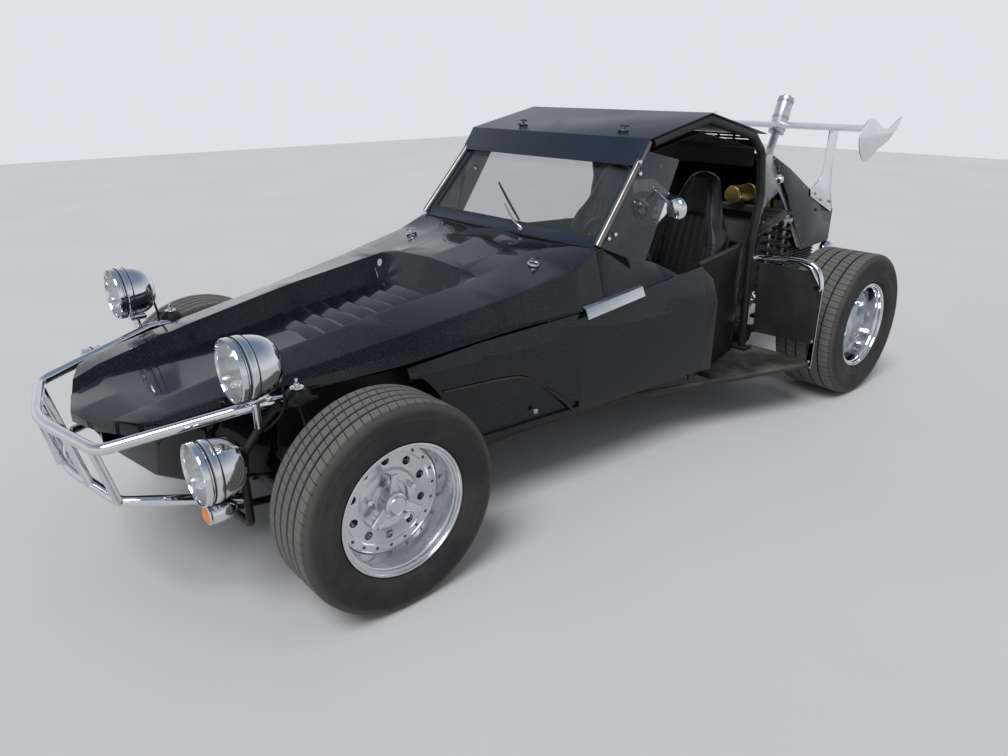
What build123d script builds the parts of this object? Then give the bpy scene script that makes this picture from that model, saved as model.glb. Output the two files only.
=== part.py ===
"""Dune buggy with open wheels, a tilting nose section, a tube cage and a rear wing.

Millimetres. +X forward, +Y to the left, +Z up. The origin lies on the ground under the
middle of the car. Fore and aft places are given ahead of the front axle or behind the rear
axle, so the cabin between them follows the wheelbase. Each piece is written to parts/.
"""

import math
import os

from build123d import *

os.makedirs("parts", exist_ok=True)

# Overall size
WHEELBASE = 2644
FRONT_REACH = 750  # bumper ahead of the front axle
TAIL_REACH = 756  # engine cover behind the rear axle
FRONT_AXLE_X = (WHEELBASE + TAIL_REACH - FRONT_REACH) / 2
REAR_AXLE_X = FRONT_AXLE_X - WHEELBASE

# Fits
SEAT = 0.3  # between pieces that touch on curved faces
RUNNING = 0.05  # radial play of a turning shaft
SHUT_GAP = 7  # round the edge of the hood

# Wheels
BEAD_R = 190.5
LIP_R = 208
LIP_T = 8
RIM_WALL = 7
FRONT_TYRE_R = 328
FRONT_TYRE_W = 215
FRONT_OUTER_Y = 775
FRONT_LIP_Y = 765
FRONT_DISH = 100
REAR_TYRE_R = 348
REAR_TYRE_W = 295
REAR_OUTER_Y = 875
REAR_LIP_Y = 861
REAR_DISH = 150
SHOULDER = 30  # radius of the tyre's shoulder
DISC_T = 12
DRUM_R = 122
DRUM_W = 54
HUB_R = 44
FRONT_Y = FRONT_OUTER_Y - FRONT_TYRE_W / 2
REAR_Y = REAR_OUTER_Y - REAR_TYRE_W / 2
FRONT_AXLE_Z = FRONT_TYRE_R
REAR_AXLE_Z = REAR_TYRE_R

# Steering and front beam
SPINDLE_R = 15
KINGPIN_Y = 560
KINGPIN_R = 10
BEAM_X = 150  # beam ahead of the front axle
BEAM_R = 30
BEAM_HALF = 400
BEAM_Z = (FRONT_AXLE_Z - 75, FRONT_AXLE_Z + 75)
ARM_T = 22
TRACK_ARM = 120  # steering arm from the kingpin back to the tie rod
TIE_ROD_R = 10

# Body
SKIN = 8
FLOOR_Z = 200
FLOOR_T = 8
FLOOR_HALF = 370
SIDE_BOTTOM_Z = 310
CREASE_Z = 612
RAIL_W = 40
RAIL_H = 50
TUNNEL_H = 80
TUBE_R = 19
WHEEL_ARCH_R = 365

# Cabin
GLASS_T = 6
FRAME_BAR = 34
SCREEN_BASE = (-1045, 905)  # ahead of the front axle, height
SCREEN_TOP = (-1335, 1240)
SCREEN_HALF_BASE = 530
SCREEN_HALF_TOP = 500
ROOF_T = 4
ROOF_HALF = SCREEN_HALF_TOP + 18
HOOP_Y = SCREEN_HALF_TOP
HOOP_X = 500  # main hoop ahead of the rear axle
SEAT_INNER = 52  # middle of the car to a seat's inner edge
SEAT_HALF = (SCREEN_HALF_BASE - 58 - SEAT_INNER) / 2
SEAT_Y = SEAT_INNER + SEAT_HALF


def ahead(distance):
    return FRONT_AXLE_X + distance


def behind(distance):
    return REAR_AXLE_X - distance


def hoop(distance):
    """Fore and aft place from the main hoop, forward positive."""
    return REAR_AXLE_X + HOOP_X + distance


def plate(points, push):
    """Flat plate: a polygon of 3-D points pushed along the vector push."""
    push = Vector(*push)
    face = make_face(Polyline(*points, close=True))
    return extrude(face, amount=push.length, dir=push.normalized())


def tube(points, radius, bend=0):
    """Round bar along straight runs joined by arcs."""
    path = FilletPolyline(*points, radius=bend) if bend else Polyline(*points)
    return sweep(Plane(origin=path @ 0, z_dir=path % 0) * Circle(radius), path=path)


def rod(start, end, radius):
    start, end = Vector(*start), Vector(*end)
    axis = end - start
    place = Plane(origin=start, z_dir=axis)
    return place * Cylinder(radius, axis.length, align=(Align.CENTER, Align.CENTER, Align.MIN))


def block(corner, opposite):
    size = [abs(b - a) for a, b in zip(corner, opposite)]
    middle = [(a + b) / 2 for a, b in zip(corner, opposite)]
    return Pos(*middle) * Box(*size)


def right_of(shape):
    """The mirrored piece on the right-hand side."""
    return mirror(shape, about=Plane.XZ)


def both_sides(*shapes):
    return Compound([solid for s in shapes for side in (s, right_of(s)) for solid in side.solids()])


def coped(piece, *others):
    """The piece with its neighbours cut away, as a tube is notched to sit against another."""
    for other in others:
        piece = piece - other
    return max(piece.solids(), key=lambda solid: solid.volume)


def lofted(rings):
    return loft([make_face(Polyline(*ring, close=True)) for ring in rings], ruled=True)


def save(name, shape):
    export_step(shape, os.path.join("parts", name + ".step"))


# Tyres and wheels, turned about the Y axis with the outer side at +Y


def tyre(radius, width, rim_half):
    half = width / 2
    tread = half - 10
    shoulder = radius - SHOULDER
    belly = (LIP_R + shoulder) / 2
    side = (
        Line((BEAD_R, 0), (BEAD_R, rim_half))
        + Line((BEAD_R, rim_half), (LIP_R + 2, rim_half))
        + ThreePointArc((LIP_R + 2, rim_half), (belly, half), (shoulder, half - 2))
        + ThreePointArc((shoulder, half - 2), (radius - 8, half - 10), (radius, tread - 20))
        + Line((radius, tread - 20), (radius, 0))
    )
    half_face = make_face(side + Line((radius, 0), (BEAD_R, 0)))
    return revolve(half_face + mirror(half_face, about=Plane.XZ), axis=Axis.Y)


def rim(lip_y, dish, bore):
    """Deep rim with its disc, ring of holes and brake drum; lip_y is from the tyre's middle."""
    seat = BEAD_R - SEAT
    well = seat - RIM_WALL
    edge = lip_y - LIP_T
    disc = lip_y - dish
    back = disc - DISC_T - DRUM_W
    barrel = [
        (well, lip_y), (LIP_R, lip_y), (LIP_R, edge), (seat, edge), (seat, -edge),
        (LIP_R, -edge), (LIP_R, -lip_y), (well, -lip_y),
    ]
    centre = [
        (bore, disc + 18), (HUB_R, disc + 18), (HUB_R, disc), (DRUM_R, disc), (well, disc + 14),
        (well, disc + 2), (DRUM_R, disc - DISC_T), (DRUM_R, back), (bore, back),
    ]
    wheel = revolve(make_face(Polyline(*barrel, close=True)), axis=Axis.Y)
    wheel += revolve(make_face(Polyline(*centre, close=True)), axis=Axis.Y)
    holes = 10
    hole_r = (DRUM_R + well) / 2
    for i in range(holes):
        turn = Rot(0, 360 * i / holes, 0)
        wheel -= turn * Pos(hole_r, disc + 5, 0) * Rot(90, 0, 0) * Cylinder(17, 60)
    return wheel


def spinner(disc):
    """Three-eared knock-off cap on the hub."""
    face = disc + 18
    cap = Pos(0, face + 20, 0) * Rot(90, 0, 0) * Cone(34, HUB_R, 40)
    for i in range(3):
        ear = plate([(0, face + 10, -16), (0, face + 10, 16), (95, face + 26, 9), (95, face + 26, -9)],
                    (-4, 14, 0))
        cap += Rot(0, 90 + 120 * i, 0) * ear
    return cap


def wheels():
    """Front and rear wheels with their places and shafts."""
    table = (
        # name, x, z, middle y, tyre radius, tyre width, lip y, dish, bore, has a spinner
        ("front", FRONT_AXLE_X, FRONT_AXLE_Z, FRONT_Y, FRONT_TYRE_R, FRONT_TYRE_W, FRONT_LIP_Y, FRONT_DISH,
         SPINDLE_R + RUNNING, True),
        ("rear", REAR_AXLE_X, REAR_AXLE_Z, REAR_Y, REAR_TYRE_R, REAR_TYRE_W, REAR_LIP_Y, REAR_DISH, 0, False),
    )
    for name, x, z, y, radius, width, lip, dish, bore, spun in table:
        lip_y = lip - y
        place = Pos(x, y, z)
        rubber = place * tyre(radius, width, lip_y - LIP_T - SEAT)
        wheel = rim(lip_y, dish, bore)
        if spun:
            wheel += spinner(lip_y - dish)
        wheel = place * wheel
        if not spun:
            wheel += half_shaft()
        for side, flip in (("left", False), ("right", True)):
            save(f"tyre_{name}_{side}", right_of(rubber) if flip else rubber)
            save(f"rim_{name}_{side}", right_of(wheel) if flip else wheel)


# Rear drive line, on the rear axle's line

STUB_R = 25
CARRIER_Y = (582, 639)
CV_R = 46
SHAFT_R = 14
SHAFT_INNER_Y = 195
GEARBOX_HALF = 190


def half_shaft():
    hub_back = REAR_LIP_Y - REAR_DISH - DISC_T - DRUM_W
    centre = (REAR_AXLE_X, REAR_AXLE_Z)
    pieces = (
        # inner y, outer y, radius
        (CARRIER_Y[0] - 6, hub_back + 5, STUB_R),
        (CARRIER_Y[0] - 66, CARRIER_Y[0] - 6, CV_R),
        (SHAFT_INNER_Y + 50, CARRIER_Y[0] - 60, SHAFT_R),
        (SHAFT_INNER_Y, SHAFT_INNER_Y + 55, CV_R),
    )
    shaft = None
    for inner, outer, radius in pieces:
        run = rod((centre[0], inner, centre[1]), (centre[0], outer, centre[1]), radius)
        shaft = run if shaft is None else shaft + run
    return shaft


# Front beam, arms, knuckles and tie rod

EYE_HALF = 17
EYE_T = 24
ARM_LEAN = 12
BACKING_T = 5
BACKING_Y = FRONT_LIP_Y - FRONT_DISH - DISC_T - DRUM_W - 4 - BACKING_T
HORN_Y = 375
HORN_TOP = 590
TOWER = (169, 564, 656)  # outer end of the shock tower's shelf: ahead of the front axle, y, z
SHOCK_TOP = (150, 455)
SHOCK_FOOT = (70, 245)  # ahead of the front axle, z
SHOCK_R = 20


def front_beam():
    """Two cross tubes with webs, upright horns that carry the shock towers, and the steering box."""
    x = ahead(BEAM_X)
    low, high = BEAM_Z
    beam = rod((x, -BEAM_HALF, low), (x, BEAM_HALF, low), BEAM_R)
    beam += rod((x, -BEAM_HALF, high), (x, BEAM_HALF, high), BEAM_R)
    for side in (1, -1):
        beam += block((x - 14, side * 330 - 12, low), (x + 14, side * 330 + 12, high))
        y = side * HORN_Y
        beam += plate([(x - 34, y, low), (x + 34, y, low), (x + 40, y, high + 60),
                       (x + 22, y, HORN_TOP + 7), (x - 30, y, HORN_TOP + 7)], (0, side * 8, 0))
        end_x, end_y, end_z = ahead(TOWER[0]), side * TOWER[1], TOWER[2]
        beam += plate([(x - 30, y, HORN_TOP), (x + 22, y, HORN_TOP), (end_x + 34, end_y, end_z),
                       (end_x - 34, end_y, end_z)], (0, 0, 8))
    beam += block((x - 45, 60, low - 12), (x + 45, 150, high + 30))
    return beam


def front_arms():
    """Trailing arms from the beam's ends back to the kingpin."""
    arms = []
    x = ahead(BEAM_X)
    for z, lean in ((BEAM_Z[0], ARM_LEAN), (BEAM_Z[1], -ARM_LEAN)):
        arm = plate(
            [(x + 34, BEAM_HALF + SEAT, z - 26), (x + 34, BEAM_HALF + SEAT, z + 26),
             (ahead(20), BEAM_HALF + SEAT, z + 18 - lean), (ahead(-22), BEAM_HALF + SEAT, z - lean),
             (ahead(20), BEAM_HALF + SEAT, z - 18 - lean)],
            (0, ARM_T, 0))
        eye_z = z - lean
        joint = block((ahead(-EYE_HALF), BEAM_HALF + SEAT + ARM_T / 2, eye_z - EYE_T / 2),
                      (ahead(EYE_HALF), KINGPIN_Y + EYE_HALF, eye_z + EYE_T / 2))
        bore = Pos(FRONT_AXLE_X, KINGPIN_Y, eye_z) * Cylinder(KINGPIN_R + RUNNING, 2 * EYE_T)
        arms.append(arm + joint - bore)
    return arms


def knuckle():
    x, z = FRONT_AXLE_X, FRONT_AXLE_Z
    low = BEAM_Z[0] - ARM_LEAN + EYE_T / 2 + SEAT
    high = BEAM_Z[1] + ARM_LEAN - EYE_T / 2 - SEAT
    body = rod((x, KINGPIN_Y, low), (x, KINGPIN_Y, high), KINGPIN_R + 6)
    body += rod((x, KINGPIN_Y, low - EYE_T - 4), (x, KINGPIN_Y, high + EYE_T + 4), KINGPIN_R)
    drum_end = FRONT_LIP_Y - FRONT_DISH + 10
    body += rod((x, KINGPIN_Y, z), (x, BACKING_Y + BACKING_T, z), SPINDLE_R + 10)
    body += rod((x, KINGPIN_Y, z), (x, drum_end, z), SPINDLE_R)
    body += rod((x, BACKING_Y, z), (x, BACKING_Y + BACKING_T, z), DRUM_R)
    body += plate([(x, KINGPIN_Y - 14, z - 40), (x, KINGPIN_Y + 14, z - 40),
                   (x - TRACK_ARM, KINGPIN_Y - 30, z - 40), (x - TRACK_ARM, KINGPIN_Y - 54, z - 40)],
                  (0, 0, 12))
    return body


def tie_rod():
    """Track rod that slides across behind the beam, its ends resting over the steering arms."""
    x, z = ahead(-TRACK_ARM + 12), FRONT_AXLE_Z - 40 + 12 + SEAT + TIE_ROD_R
    return rod((x, -KINGPIN_Y + 36, z), (x, KINGPIN_Y - 36, z), TIE_ROD_R)


def front_shock(beam):
    """Damper from an eye on the lower arm up to the shelf of the shock tower."""
    foot_y = BEAM_HALF + SEAT + ARM_T + SHOCK_R + SEAT
    foot = Vector(ahead(SHOCK_FOOT[0]), foot_y, SHOCK_FOOT[1])
    top = Vector(ahead(SHOCK_TOP[0]), SHOCK_TOP[1], TOWER[2])
    middle = foot + (top - foot) * 0.55
    eye = rod((foot.X, BEAM_HALF + SEAT + ARM_T, foot.Z), (foot.X, foot_y + SHOCK_R, foot.Z), SHOCK_R - 4)
    damper = rod(tuple(foot), tuple(middle), SHOCK_R) + rod(tuple(middle), tuple(top), SHOCK_R / 2)
    return coped(eye + damper, beam)


# Hood: an inverted tray between nose and windscreen, hinged at the nose

HOOD_REAR = -1022
HINGE_X = 590
HINGE_Z = 540
HINGE_Y = 100
HINGE_R = 6
HOOD_SECTIONS = (
    # ahead, centre z, foot y, foot z, crest y, crest z, outer y, outer z, side y, side z, edge y, edge z
    (700, 563, 140, 550, 180, 566, 325, 588, 335, 572, 338, 530),
    (500, 601, 185, 594, 228, 626, 344, 622, 351, 606, 353, 582),
    (200, 627, 215, 620, 250, 690, 386, 670, 400, 648, 402, 618),
    (-200, 670, 240, 664, 280, 757, 443, 725, 480, 684, 500, 652),
    (-585, 712, 250, 706, 302, 806, 504, 786, 536, 697, 545, 686),
    (-660, 840, 210, 829, 303, 816, 516, 800, 546, 698, 553, 690),
    (-900, 882, 175, 868, 310, 866, SCREEN_HALF_BASE + 22, 843, SCREEN_HALF_BASE + 44, 706,
     SCREEN_HALF_BASE + 50, 700),
    (HOOD_REAR, 905, 150, 893, 320, 896, SCREEN_HALF_BASE + 3, 902, SCREEN_HALF_BASE + 52, 716,
     SCREEN_HALF_BASE + 58, 710),
)
NOSE_PLAN = ((645, 0), (612, 142), (588, 200), (545, 300), (490, 352))


def hood_ring(row, inset):
    """One closed section, drawn from the left edge over the top to the right edge."""
    x, cz, fy, fz, ry, rz, oy, oz, sy, sz, ey, ez = row
    half = [(0, cz - inset), (fy - inset * 0.4, fz - inset), (ry + inset * 0.5, rz - inset),
            (oy - inset * 0.6, oz - inset), (sy - inset, sz - inset * 0.3), (ey - inset, ez - 2 * inset)]
    left = [(ahead(x), y, z) for y, z in reversed(half)]
    return left + [(px, -y, pz) for px, y, pz in reversed(left[:-1])]


def hood_plan(inset, base, height):
    outline = [(ahead(x) - inset, max(y - inset, 0)) for x, y in NOSE_PLAN]
    outline += [(ahead(HOOD_REAR) - 60, 700)]
    outline.insert(-1, (ahead(NOSE_PLAN[-1][0]) - inset, 700))
    right = [(x, -y) for x, y in reversed(outline[1:])]
    return Pos(0, 0, base) * extrude(make_face(Polyline(*outline, *right, close=True)), height)


def hood():
    """Thin moulded shell with louvre lips in its channel and two hinge eyes under the nose."""
    outer = lofted([hood_ring(row, 0) for row in HOOD_SECTIONS]) & hood_plan(0, 400, 700)
    inner = lofted([hood_ring(row, SKIN) for row in HOOD_SECTIONS]) & hood_plan(SKIN, 400, 700)
    shell = outer - inner
    for lip in louvres():
        shell += lip
    for side in (1, -1):
        eye = hinge_barrel(side * HINGE_Y, 14, HINGE_R + 6)
        web = block((ahead(HINGE_X) - 6, side * HINGE_Y - 7, HINGE_Z),
                    (ahead(HINGE_X) + 6, side * HINGE_Y + 7, HINGE_Z + 34))
        shell += eye + web
        shell -= hinge_barrel(side * HINGE_Y, 60, HINGE_R + RUNNING)
    return max(shell.solids(), key=lambda s: s.volume)


def hinge_barrel(y, length, radius):
    """Cylinder on the hinge line of the hood."""
    return Pos(ahead(HINGE_X), y, HINGE_Z) * Rot(90, 0, 0) * Cylinder(radius, length)


def louvres():
    """Raised louvre lips across the channel."""
    lips = []
    for i in range(5):
        x = -190 - 85 * i
        z = 670 + (-200 - x) * 0.109 + 1
        lips.append(plate([(ahead(x), -200, z), (ahead(x + 62), -200, z - 6), (ahead(x), -200, z + 16)],
                          (0, 400, 0)))
    return lips


# Tub: sides, nose pan, floor and bulkheads

SIDE_SECTIONS = (
    # x, top y, top z, crease y; the top follows the hood's edge below the shut gap
    (ahead(-200), 506, 646 - SHUT_GAP, 519),
    (ahead(-480), 530, 676 - SHUT_GAP, 545),
    (ahead(-915), SCREEN_HALF_BASE + 45, 701 - SHUT_GAP, SCREEN_HALF_BASE + 60),
    (behind(-1049), SCREEN_HALF_BASE + 75, 762, SCREEN_HALF_BASE + 110),
    (behind(-985), SCREEN_HALF_BASE + 92, 700, SCREEN_HALF_BASE + 125),
)
CHEEK = (
    # x, top y, top z of the wall between the hood's rear edge and the door opening
    (ahead(HOOD_REAR - SHUT_GAP), SCREEN_HALF_BASE + 1, 893),
    (ahead(-1078), SCREEN_HALF_BASE + 1, 893),
    (ahead(-1370), SCREEN_HALF_BASE + 3, 800),
    (ahead(-1450), SCREEN_HALF_BASE + 42, 757),
)
WALL_PLAN = (
    # x, y of the cabin's outer wall from the door opening round to the back
    (behind(-1044), SCREEN_HALF_BASE + 58),
    (behind(-794), SCREEN_HALF_BASE + 5),
    (behind(-529), SCREEN_HALF_BASE - 60),
)
WALL_TOP = 765
RECESS_DEPTH = 20
RECESS = (
    # x, z of the low panel pressed into the flank behind the front wheel
    (ahead(-280), 332),
    (ahead(-280), 515),
    (ahead(-640), 512),
    (ahead(-700), 484),
    (ahead(-850), 378),
    (ahead(-905), 352),
    (ahead(-905), 332),
)
RECESS_BACK = ((ahead(-290), 322), (ahead(-290), 525), (ahead(-915), 525), (ahead(-915), 322))
BELT_X = -600  # belt anchor holes in the sills, behind the rear axle
BELT_Y = 422
BELT_R = 5.5
COWL_Z = 893
COWL_T = 7
TOE_X = ahead(-500)


def side_edge(x):
    """Outer edge of the tub's top, between two of its sections."""
    for rear, front in zip(SIDE_SECTIONS[1:], SIDE_SECTIONS):
        if rear[0] <= x <= front[0]:
            share = (front[0] - x) / (front[0] - rear[0])
            return [f + share * (r - f) for f, r in zip(front[1:3], rear[1:3])]
    return SIDE_SECTIONS[0][1:3]


def flank_prism(outline, depth, push):
    """Prism that starts depth inside the flank, follows its lean in plan, and is pushed outwards."""
    (x0, _, _, y0), (x1, _, _, y1) = SIDE_SECTIONS[0], SIDE_SECTIONS[2]
    lean = (y1 - y0) / (x1 - x0)
    return plate([(x, y0 + (x - x0) * lean - depth, z) for x, z in outline], (0, push, 0))


def body_side():
    """Left side of the tub: top band, crease, flank and turned-in flange, with the cheek."""
    edge = FLOOR_HALF + RAIL_W
    outer, inner = [], []
    for x, top_y, top_z, crease_y in SIDE_SECTIONS:
        outer.append([(x, top_y, top_z), (x, crease_y, CREASE_Z), (x, crease_y - 2, SIDE_BOTTOM_Z),
                      (x, edge, FLOOR_Z + RAIL_W), (x, edge, top_z)])
        inner.append([(x, top_y - SKIN, top_z + 5), (x, crease_y - SKIN, CREASE_Z),
                      (x, crease_y - 2 - SKIN, SIDE_BOTTOM_Z + 5), (x, edge - 10, FLOOR_Z + RAIL_H + 2),
                      (x, edge - 10, top_z + 5)])
    side = lofted(outer) - lofted(inner)
    side += flank_prism(RECESS_BACK, RECESS_DEPTH + SKIN, RECESS_DEPTH + SKIN / 2)
    side -= flank_prism(RECESS, RECESS_DEPTH, 3 * RECESS_DEPTH)
    arch = Pos(FRONT_AXLE_X, 0, FRONT_AXLE_Z) * Rot(90, 0, 0) * Cylinder(WHEEL_ARCH_R, 1400)
    side -= arch & block((ahead(-600), -700, 0), (ahead(500), 700, CREASE_Z - 12))
    rings = []
    for x, y, z in CHEEK:
        foot_y, foot_z = side_edge(x)
        rings.append([(x, y, z), (x, foot_y, foot_z - 6), (x, foot_y - SKIN, foot_z - 6), (x, y - SKIN, z)])
    side += lofted(rings)
    x, top_y, top_z, crease_y = SIDE_SECTIONS[-1]
    side += plate([(x, top_y, top_z), (x, crease_y, CREASE_Z), (x, crease_y - 2, SIDE_BOTTOM_Z),
                   (x, 520, 275), (x, 520, top_z)], (SKIN, 0, 0))
    return coped(side, bulkhead_wall(), cabin_side())


def cabin_side():
    """Space inside the rear bulkhead, which the end of the side pod doesn't reach into."""
    (x0, y0), (x1, y1) = WALL_PLAN[:2]
    return plate([(x0, y0, 200), (x1, y1, 200), (x1, 0, 200), (x0, 0, 200)], (0, 0, 700))


def bulkhead_wall():
    """Upright wall in plan round the back of the cabin, with a rounded top edge."""
    outside = [*WALL_PLAN, *[(x, -y) for x, y in reversed(WALL_PLAN)]]
    inside = [(x + SKIN * 0.25, y - SKIN) for x, y in WALL_PLAN[:2]]
    inside.append((WALL_PLAN[2][0] + SKIN, WALL_PLAN[2][1] - SKIN * 0.8))
    inside += [(x, -y) for x, y in reversed(inside)]
    ring = [*outside, *reversed(inside)]
    base = FLOOR_Z + RAIL_H
    wall = extrude(make_face(Polyline(*[(x, y, base) for x, y in ring], close=True)), WALL_TOP - base,
                   dir=(0, 0, 1))
    rim = [(x + 2, y - SKIN / 2, WALL_TOP) for x, y in WALL_PLAN]
    rim += [(x, -y, z) for x, y, z in reversed(rim)]
    return wall + tube(rim, 11, 30)


def rear_bulkhead(pan):
    """Wall with its sills on the floor's side rails."""
    sill_front = SIDE_SECTIONS[-1][0] - 6
    (x1, y1), (x2, y2) = WALL_PLAN[1:]
    wall = bulkhead_wall()
    base = FLOOR_Z + RAIL_H
    for side in (1, -1):
        wall += plate([(sill_front, side * (FLOOR_HALF + 2), base), (sill_front, side * (WALL_PLAN[0][1] - 18), base),
                       (x1, side * (y1 - 4), base), (x2 + 4, side * (y2 - 4), base),
                       (x2 + 4, side * (FLOOR_HALF + 2), base)], (0, 0, SKIN))
    wall += block((x2, 5 - FLOOR_HALF, FLOOR_Z + FLOOR_T), (x2 + SKIN, FLOOR_HALF - 5, base + 10))
    for side in (1, -1):
        wall -= Pos(behind(BELT_X), side * BELT_Y, base) * Cylinder(BELT_R, 4 * SKIN)
    return coped(wall, pan)


def nose_pan(beam):
    """Curved tray under the nose, open above, with the lugs and pins of the hood's hinges."""
    sections = (
        # ahead, half width at the rim, rim z, half width below, bottom z
        (590, 175, 520, 120, 490),
        (500, 325, 560, 210, 400),
        (380, 350, 572, 270, 350),
        (165, 385, 590, 310, 330),
    )
    outer, inner = [], []
    for x, rim_y, rim_z, low_y, low_z in sections:
        outer.append([(ahead(x), rim_y, rim_z), (ahead(x), low_y, low_z), (ahead(x), -low_y, low_z),
                      (ahead(x), -rim_y, rim_z)])
        inner.append([(ahead(x), rim_y - 7, rim_z + 1), (ahead(x), low_y - 5, low_z + 7),
                      (ahead(x), 5 - low_y, low_z + 7), (ahead(x), 7 - rim_y, rim_z + 1)])
    pan = lofted(outer) - lofted(inner)
    for side in (1, -1):
        lug = block((ahead(HINGE_X) - 12, side * (HINGE_Y - 21) - 5, 488),
                    (ahead(HINGE_X) + 4, side * (HINGE_Y - 21) + 5, HINGE_Z + HINGE_R + 4))
        pan += lug + hinge_barrel(side * (HINGE_Y - 8), 36, HINGE_R)
    return coped(pan, beam)


def floor_pan():
    front, rear = ahead(60), behind(-470)
    top = FLOOR_Z + FLOOR_T
    pan = block((rear, -FLOOR_HALF, FLOOR_Z), (front, FLOOR_HALF, top))
    pan += plate([(rear, -45, FLOOR_Z), (rear, 45, FLOOR_Z), (rear, 35, FLOOR_Z + TUNNEL_H),
                  (rear, -35, FLOOR_Z + TUNNEL_H)], (front - rear, 0, 0))
    pan += block((front, -60, FLOOR_Z), (ahead(BEAM_X - BEAM_R) - SEAT, 60, FLOOR_Z + TUNNEL_H))
    for side in (1, -1):
        rail = sorted((side * FLOOR_HALF, side * (FLOOR_HALF + RAIL_W)))
        pan += block((rear, rail[0], FLOOR_Z), (ahead(-440), rail[1], FLOOR_Z + RAIL_H))
        for offset in (-90, 90):
            y = side * SEAT_Y + offset
            pan += block((behind(-794), y - 12, top), (ahead(-1470), y + 12, SEAT_BASE_Z))
    return pan


def scuttle(sides, pan):
    """Toe board, sloping panel and the cowl strip that the windscreen stands on."""
    top = (ahead(HOOD_REAR - SHUT_GAP) - COWL_T, 858)
    panel = plate([(TOE_X, -560, FLOOR_Z + RAIL_H), (TOE_X, 560, FLOOR_Z + RAIL_H), (TOE_X, 560, 616),
                   (TOE_X, -560, 616)], (-6, 0, 0))
    panel += block((TOE_X - 6, -FLOOR_HALF + 5, FLOOR_Z + FLOOR_T), (TOE_X, FLOOR_HALF - 5, 400))
    panel = coped(panel, *sides)
    foot, head = SCREEN_HALF_BASE - 25, SCREEN_HALF_BASE - 10
    panel += plate([(TOE_X, -foot, 616), (TOE_X, foot, 616), (top[0], head, top[1]), (top[0], -head, top[1])],
                   (0, 0, -COWL_T))
    panel += block((top[0], -head, top[1] - COWL_T), (top[0] + COWL_T, head, COWL_Z))
    panel += block((DASH_X, -SCREEN_HALF_BASE, COWL_Z), (top[0] + COWL_T, SCREEN_HALF_BASE, COWL_Z + COWL_T))
    bore = rod(tuple(column_point(60)), tuple(column_point(1100)), COLUMN_R + SEAT)
    return coped(panel, pan, bore)


# Cabin: dash, steering, screen, roof, cage and seats

SEAT_BASE_Z = 280
COLUMN_R = 20
SHAFT_R_STEER = 9
WHEEL_CENTRE = (ahead(-1450), 270, 780)
COLUMN_TILT = 25
STEERING_WHEEL_R = 170
DASH_X = ahead(-1078)


def column_point(distance):
    """Point on the steering column's axis, below the wheel's centre."""
    tilt = math.radians(COLUMN_TILT)
    return Vector(*WHEEL_CENTRE) + Vector(math.cos(tilt), 0, -math.sin(tilt)) * distance


def dashboard():
    x = DASH_X
    profile = [(x, COWL_Z + COWL_T), (x - 50, 878), (x - 82, 850), (x - 88, 840), (x - 88, 700), (x - 46, 700),
               (x - 46, 832), (x, 864)]
    half = SCREEN_HALF_BASE - 30
    return plate([(px, -half, pz) for px, pz in profile], (0, 2 * half, 0))


def steering_column():
    """Column tube from below the wheel to the toe board, on a bracket under the dash."""
    start, end = column_point(66), column_point((WHEEL_CENTRE[0] - TOE_X) * -1.12)
    column = rod(tuple(start), tuple(end), COLUMN_R)
    x = DASH_X - 80
    column += block((x, WHEEL_CENTRE[1] - 20, 610), (x + 30, WHEEL_CENTRE[1] + 20, 700))
    axis = rod(tuple(column_point(50)), tuple(column_point(1200)), SHAFT_R_STEER + RUNNING)
    return column - axis


def steering_wheel():
    place = Plane(origin=WHEEL_CENTRE, z_dir=column_point(-100) - column_point(0))
    wheel = Torus(STEERING_WHEEL_R, 13) + Pos(0, 0, -30) * Cylinder(30, 34)
    for i in range(3):
        spoke = plate([(20, -13, -26), (20, 13, -26), (STEERING_WHEEL_R, 11, 0), (STEERING_WHEEL_R, -11, 0)],
                      (0, 0, 5))
        wheel += Rot(0, 0, 90 + 120 * i) * spoke
    shaft = Pos(0, 0, -30) * Cylinder(SHAFT_R_STEER, 900, align=(Align.CENTER, Align.CENTER, Align.MAX))
    return place * (wheel + shaft)


SCREEN_RISE = Vector(SCREEN_TOP[0] - SCREEN_BASE[0], 0, SCREEN_TOP[1] - SCREEN_BASE[1])
FRAME_DEPTH = 22


def screen_plane():
    """Plane of the windscreen: its own x runs to the left and its own y up the slant."""
    up = SCREEN_RISE.normalized()
    return Plane(origin=(ahead(SCREEN_BASE[0]), 0, SCREEN_BASE[1]), x_dir=(0, 1, 0),
                 z_dir=Vector(0, 1, 0).cross(up))


def screen_shape(inset, drop=0):
    length = SCREEN_RISE.length
    low, high = SCREEN_HALF_BASE - inset, SCREEN_HALF_TOP - inset
    return make_face(Polyline((-low, inset - drop), (low, inset - drop), (high, length - inset),
                              (-high, length - inset), close=True))


def windscreen_frame():
    bars = screen_shape(0, 40) - screen_shape(FRAME_BAR)
    frame = extrude(screen_plane() * bars, FRAME_DEPTH / 2, both=True)
    keep = block((ahead(-1500), -700, COWL_Z + COWL_T), (ahead(-900), 700, 1400))
    return frame & keep


def windscreen_glass():
    return extrude(screen_plane() * screen_shape(FRAME_BAR), GLASS_T / 2, both=True)


ROOF_PATH = (  # x, z of the roof's upper face, from the visor's lip to the rear edge
    (ahead(-1247), 1178), (ahead(-1312), 1271), (ahead(-1697), 1352), (behind(-524), 1255))


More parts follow.
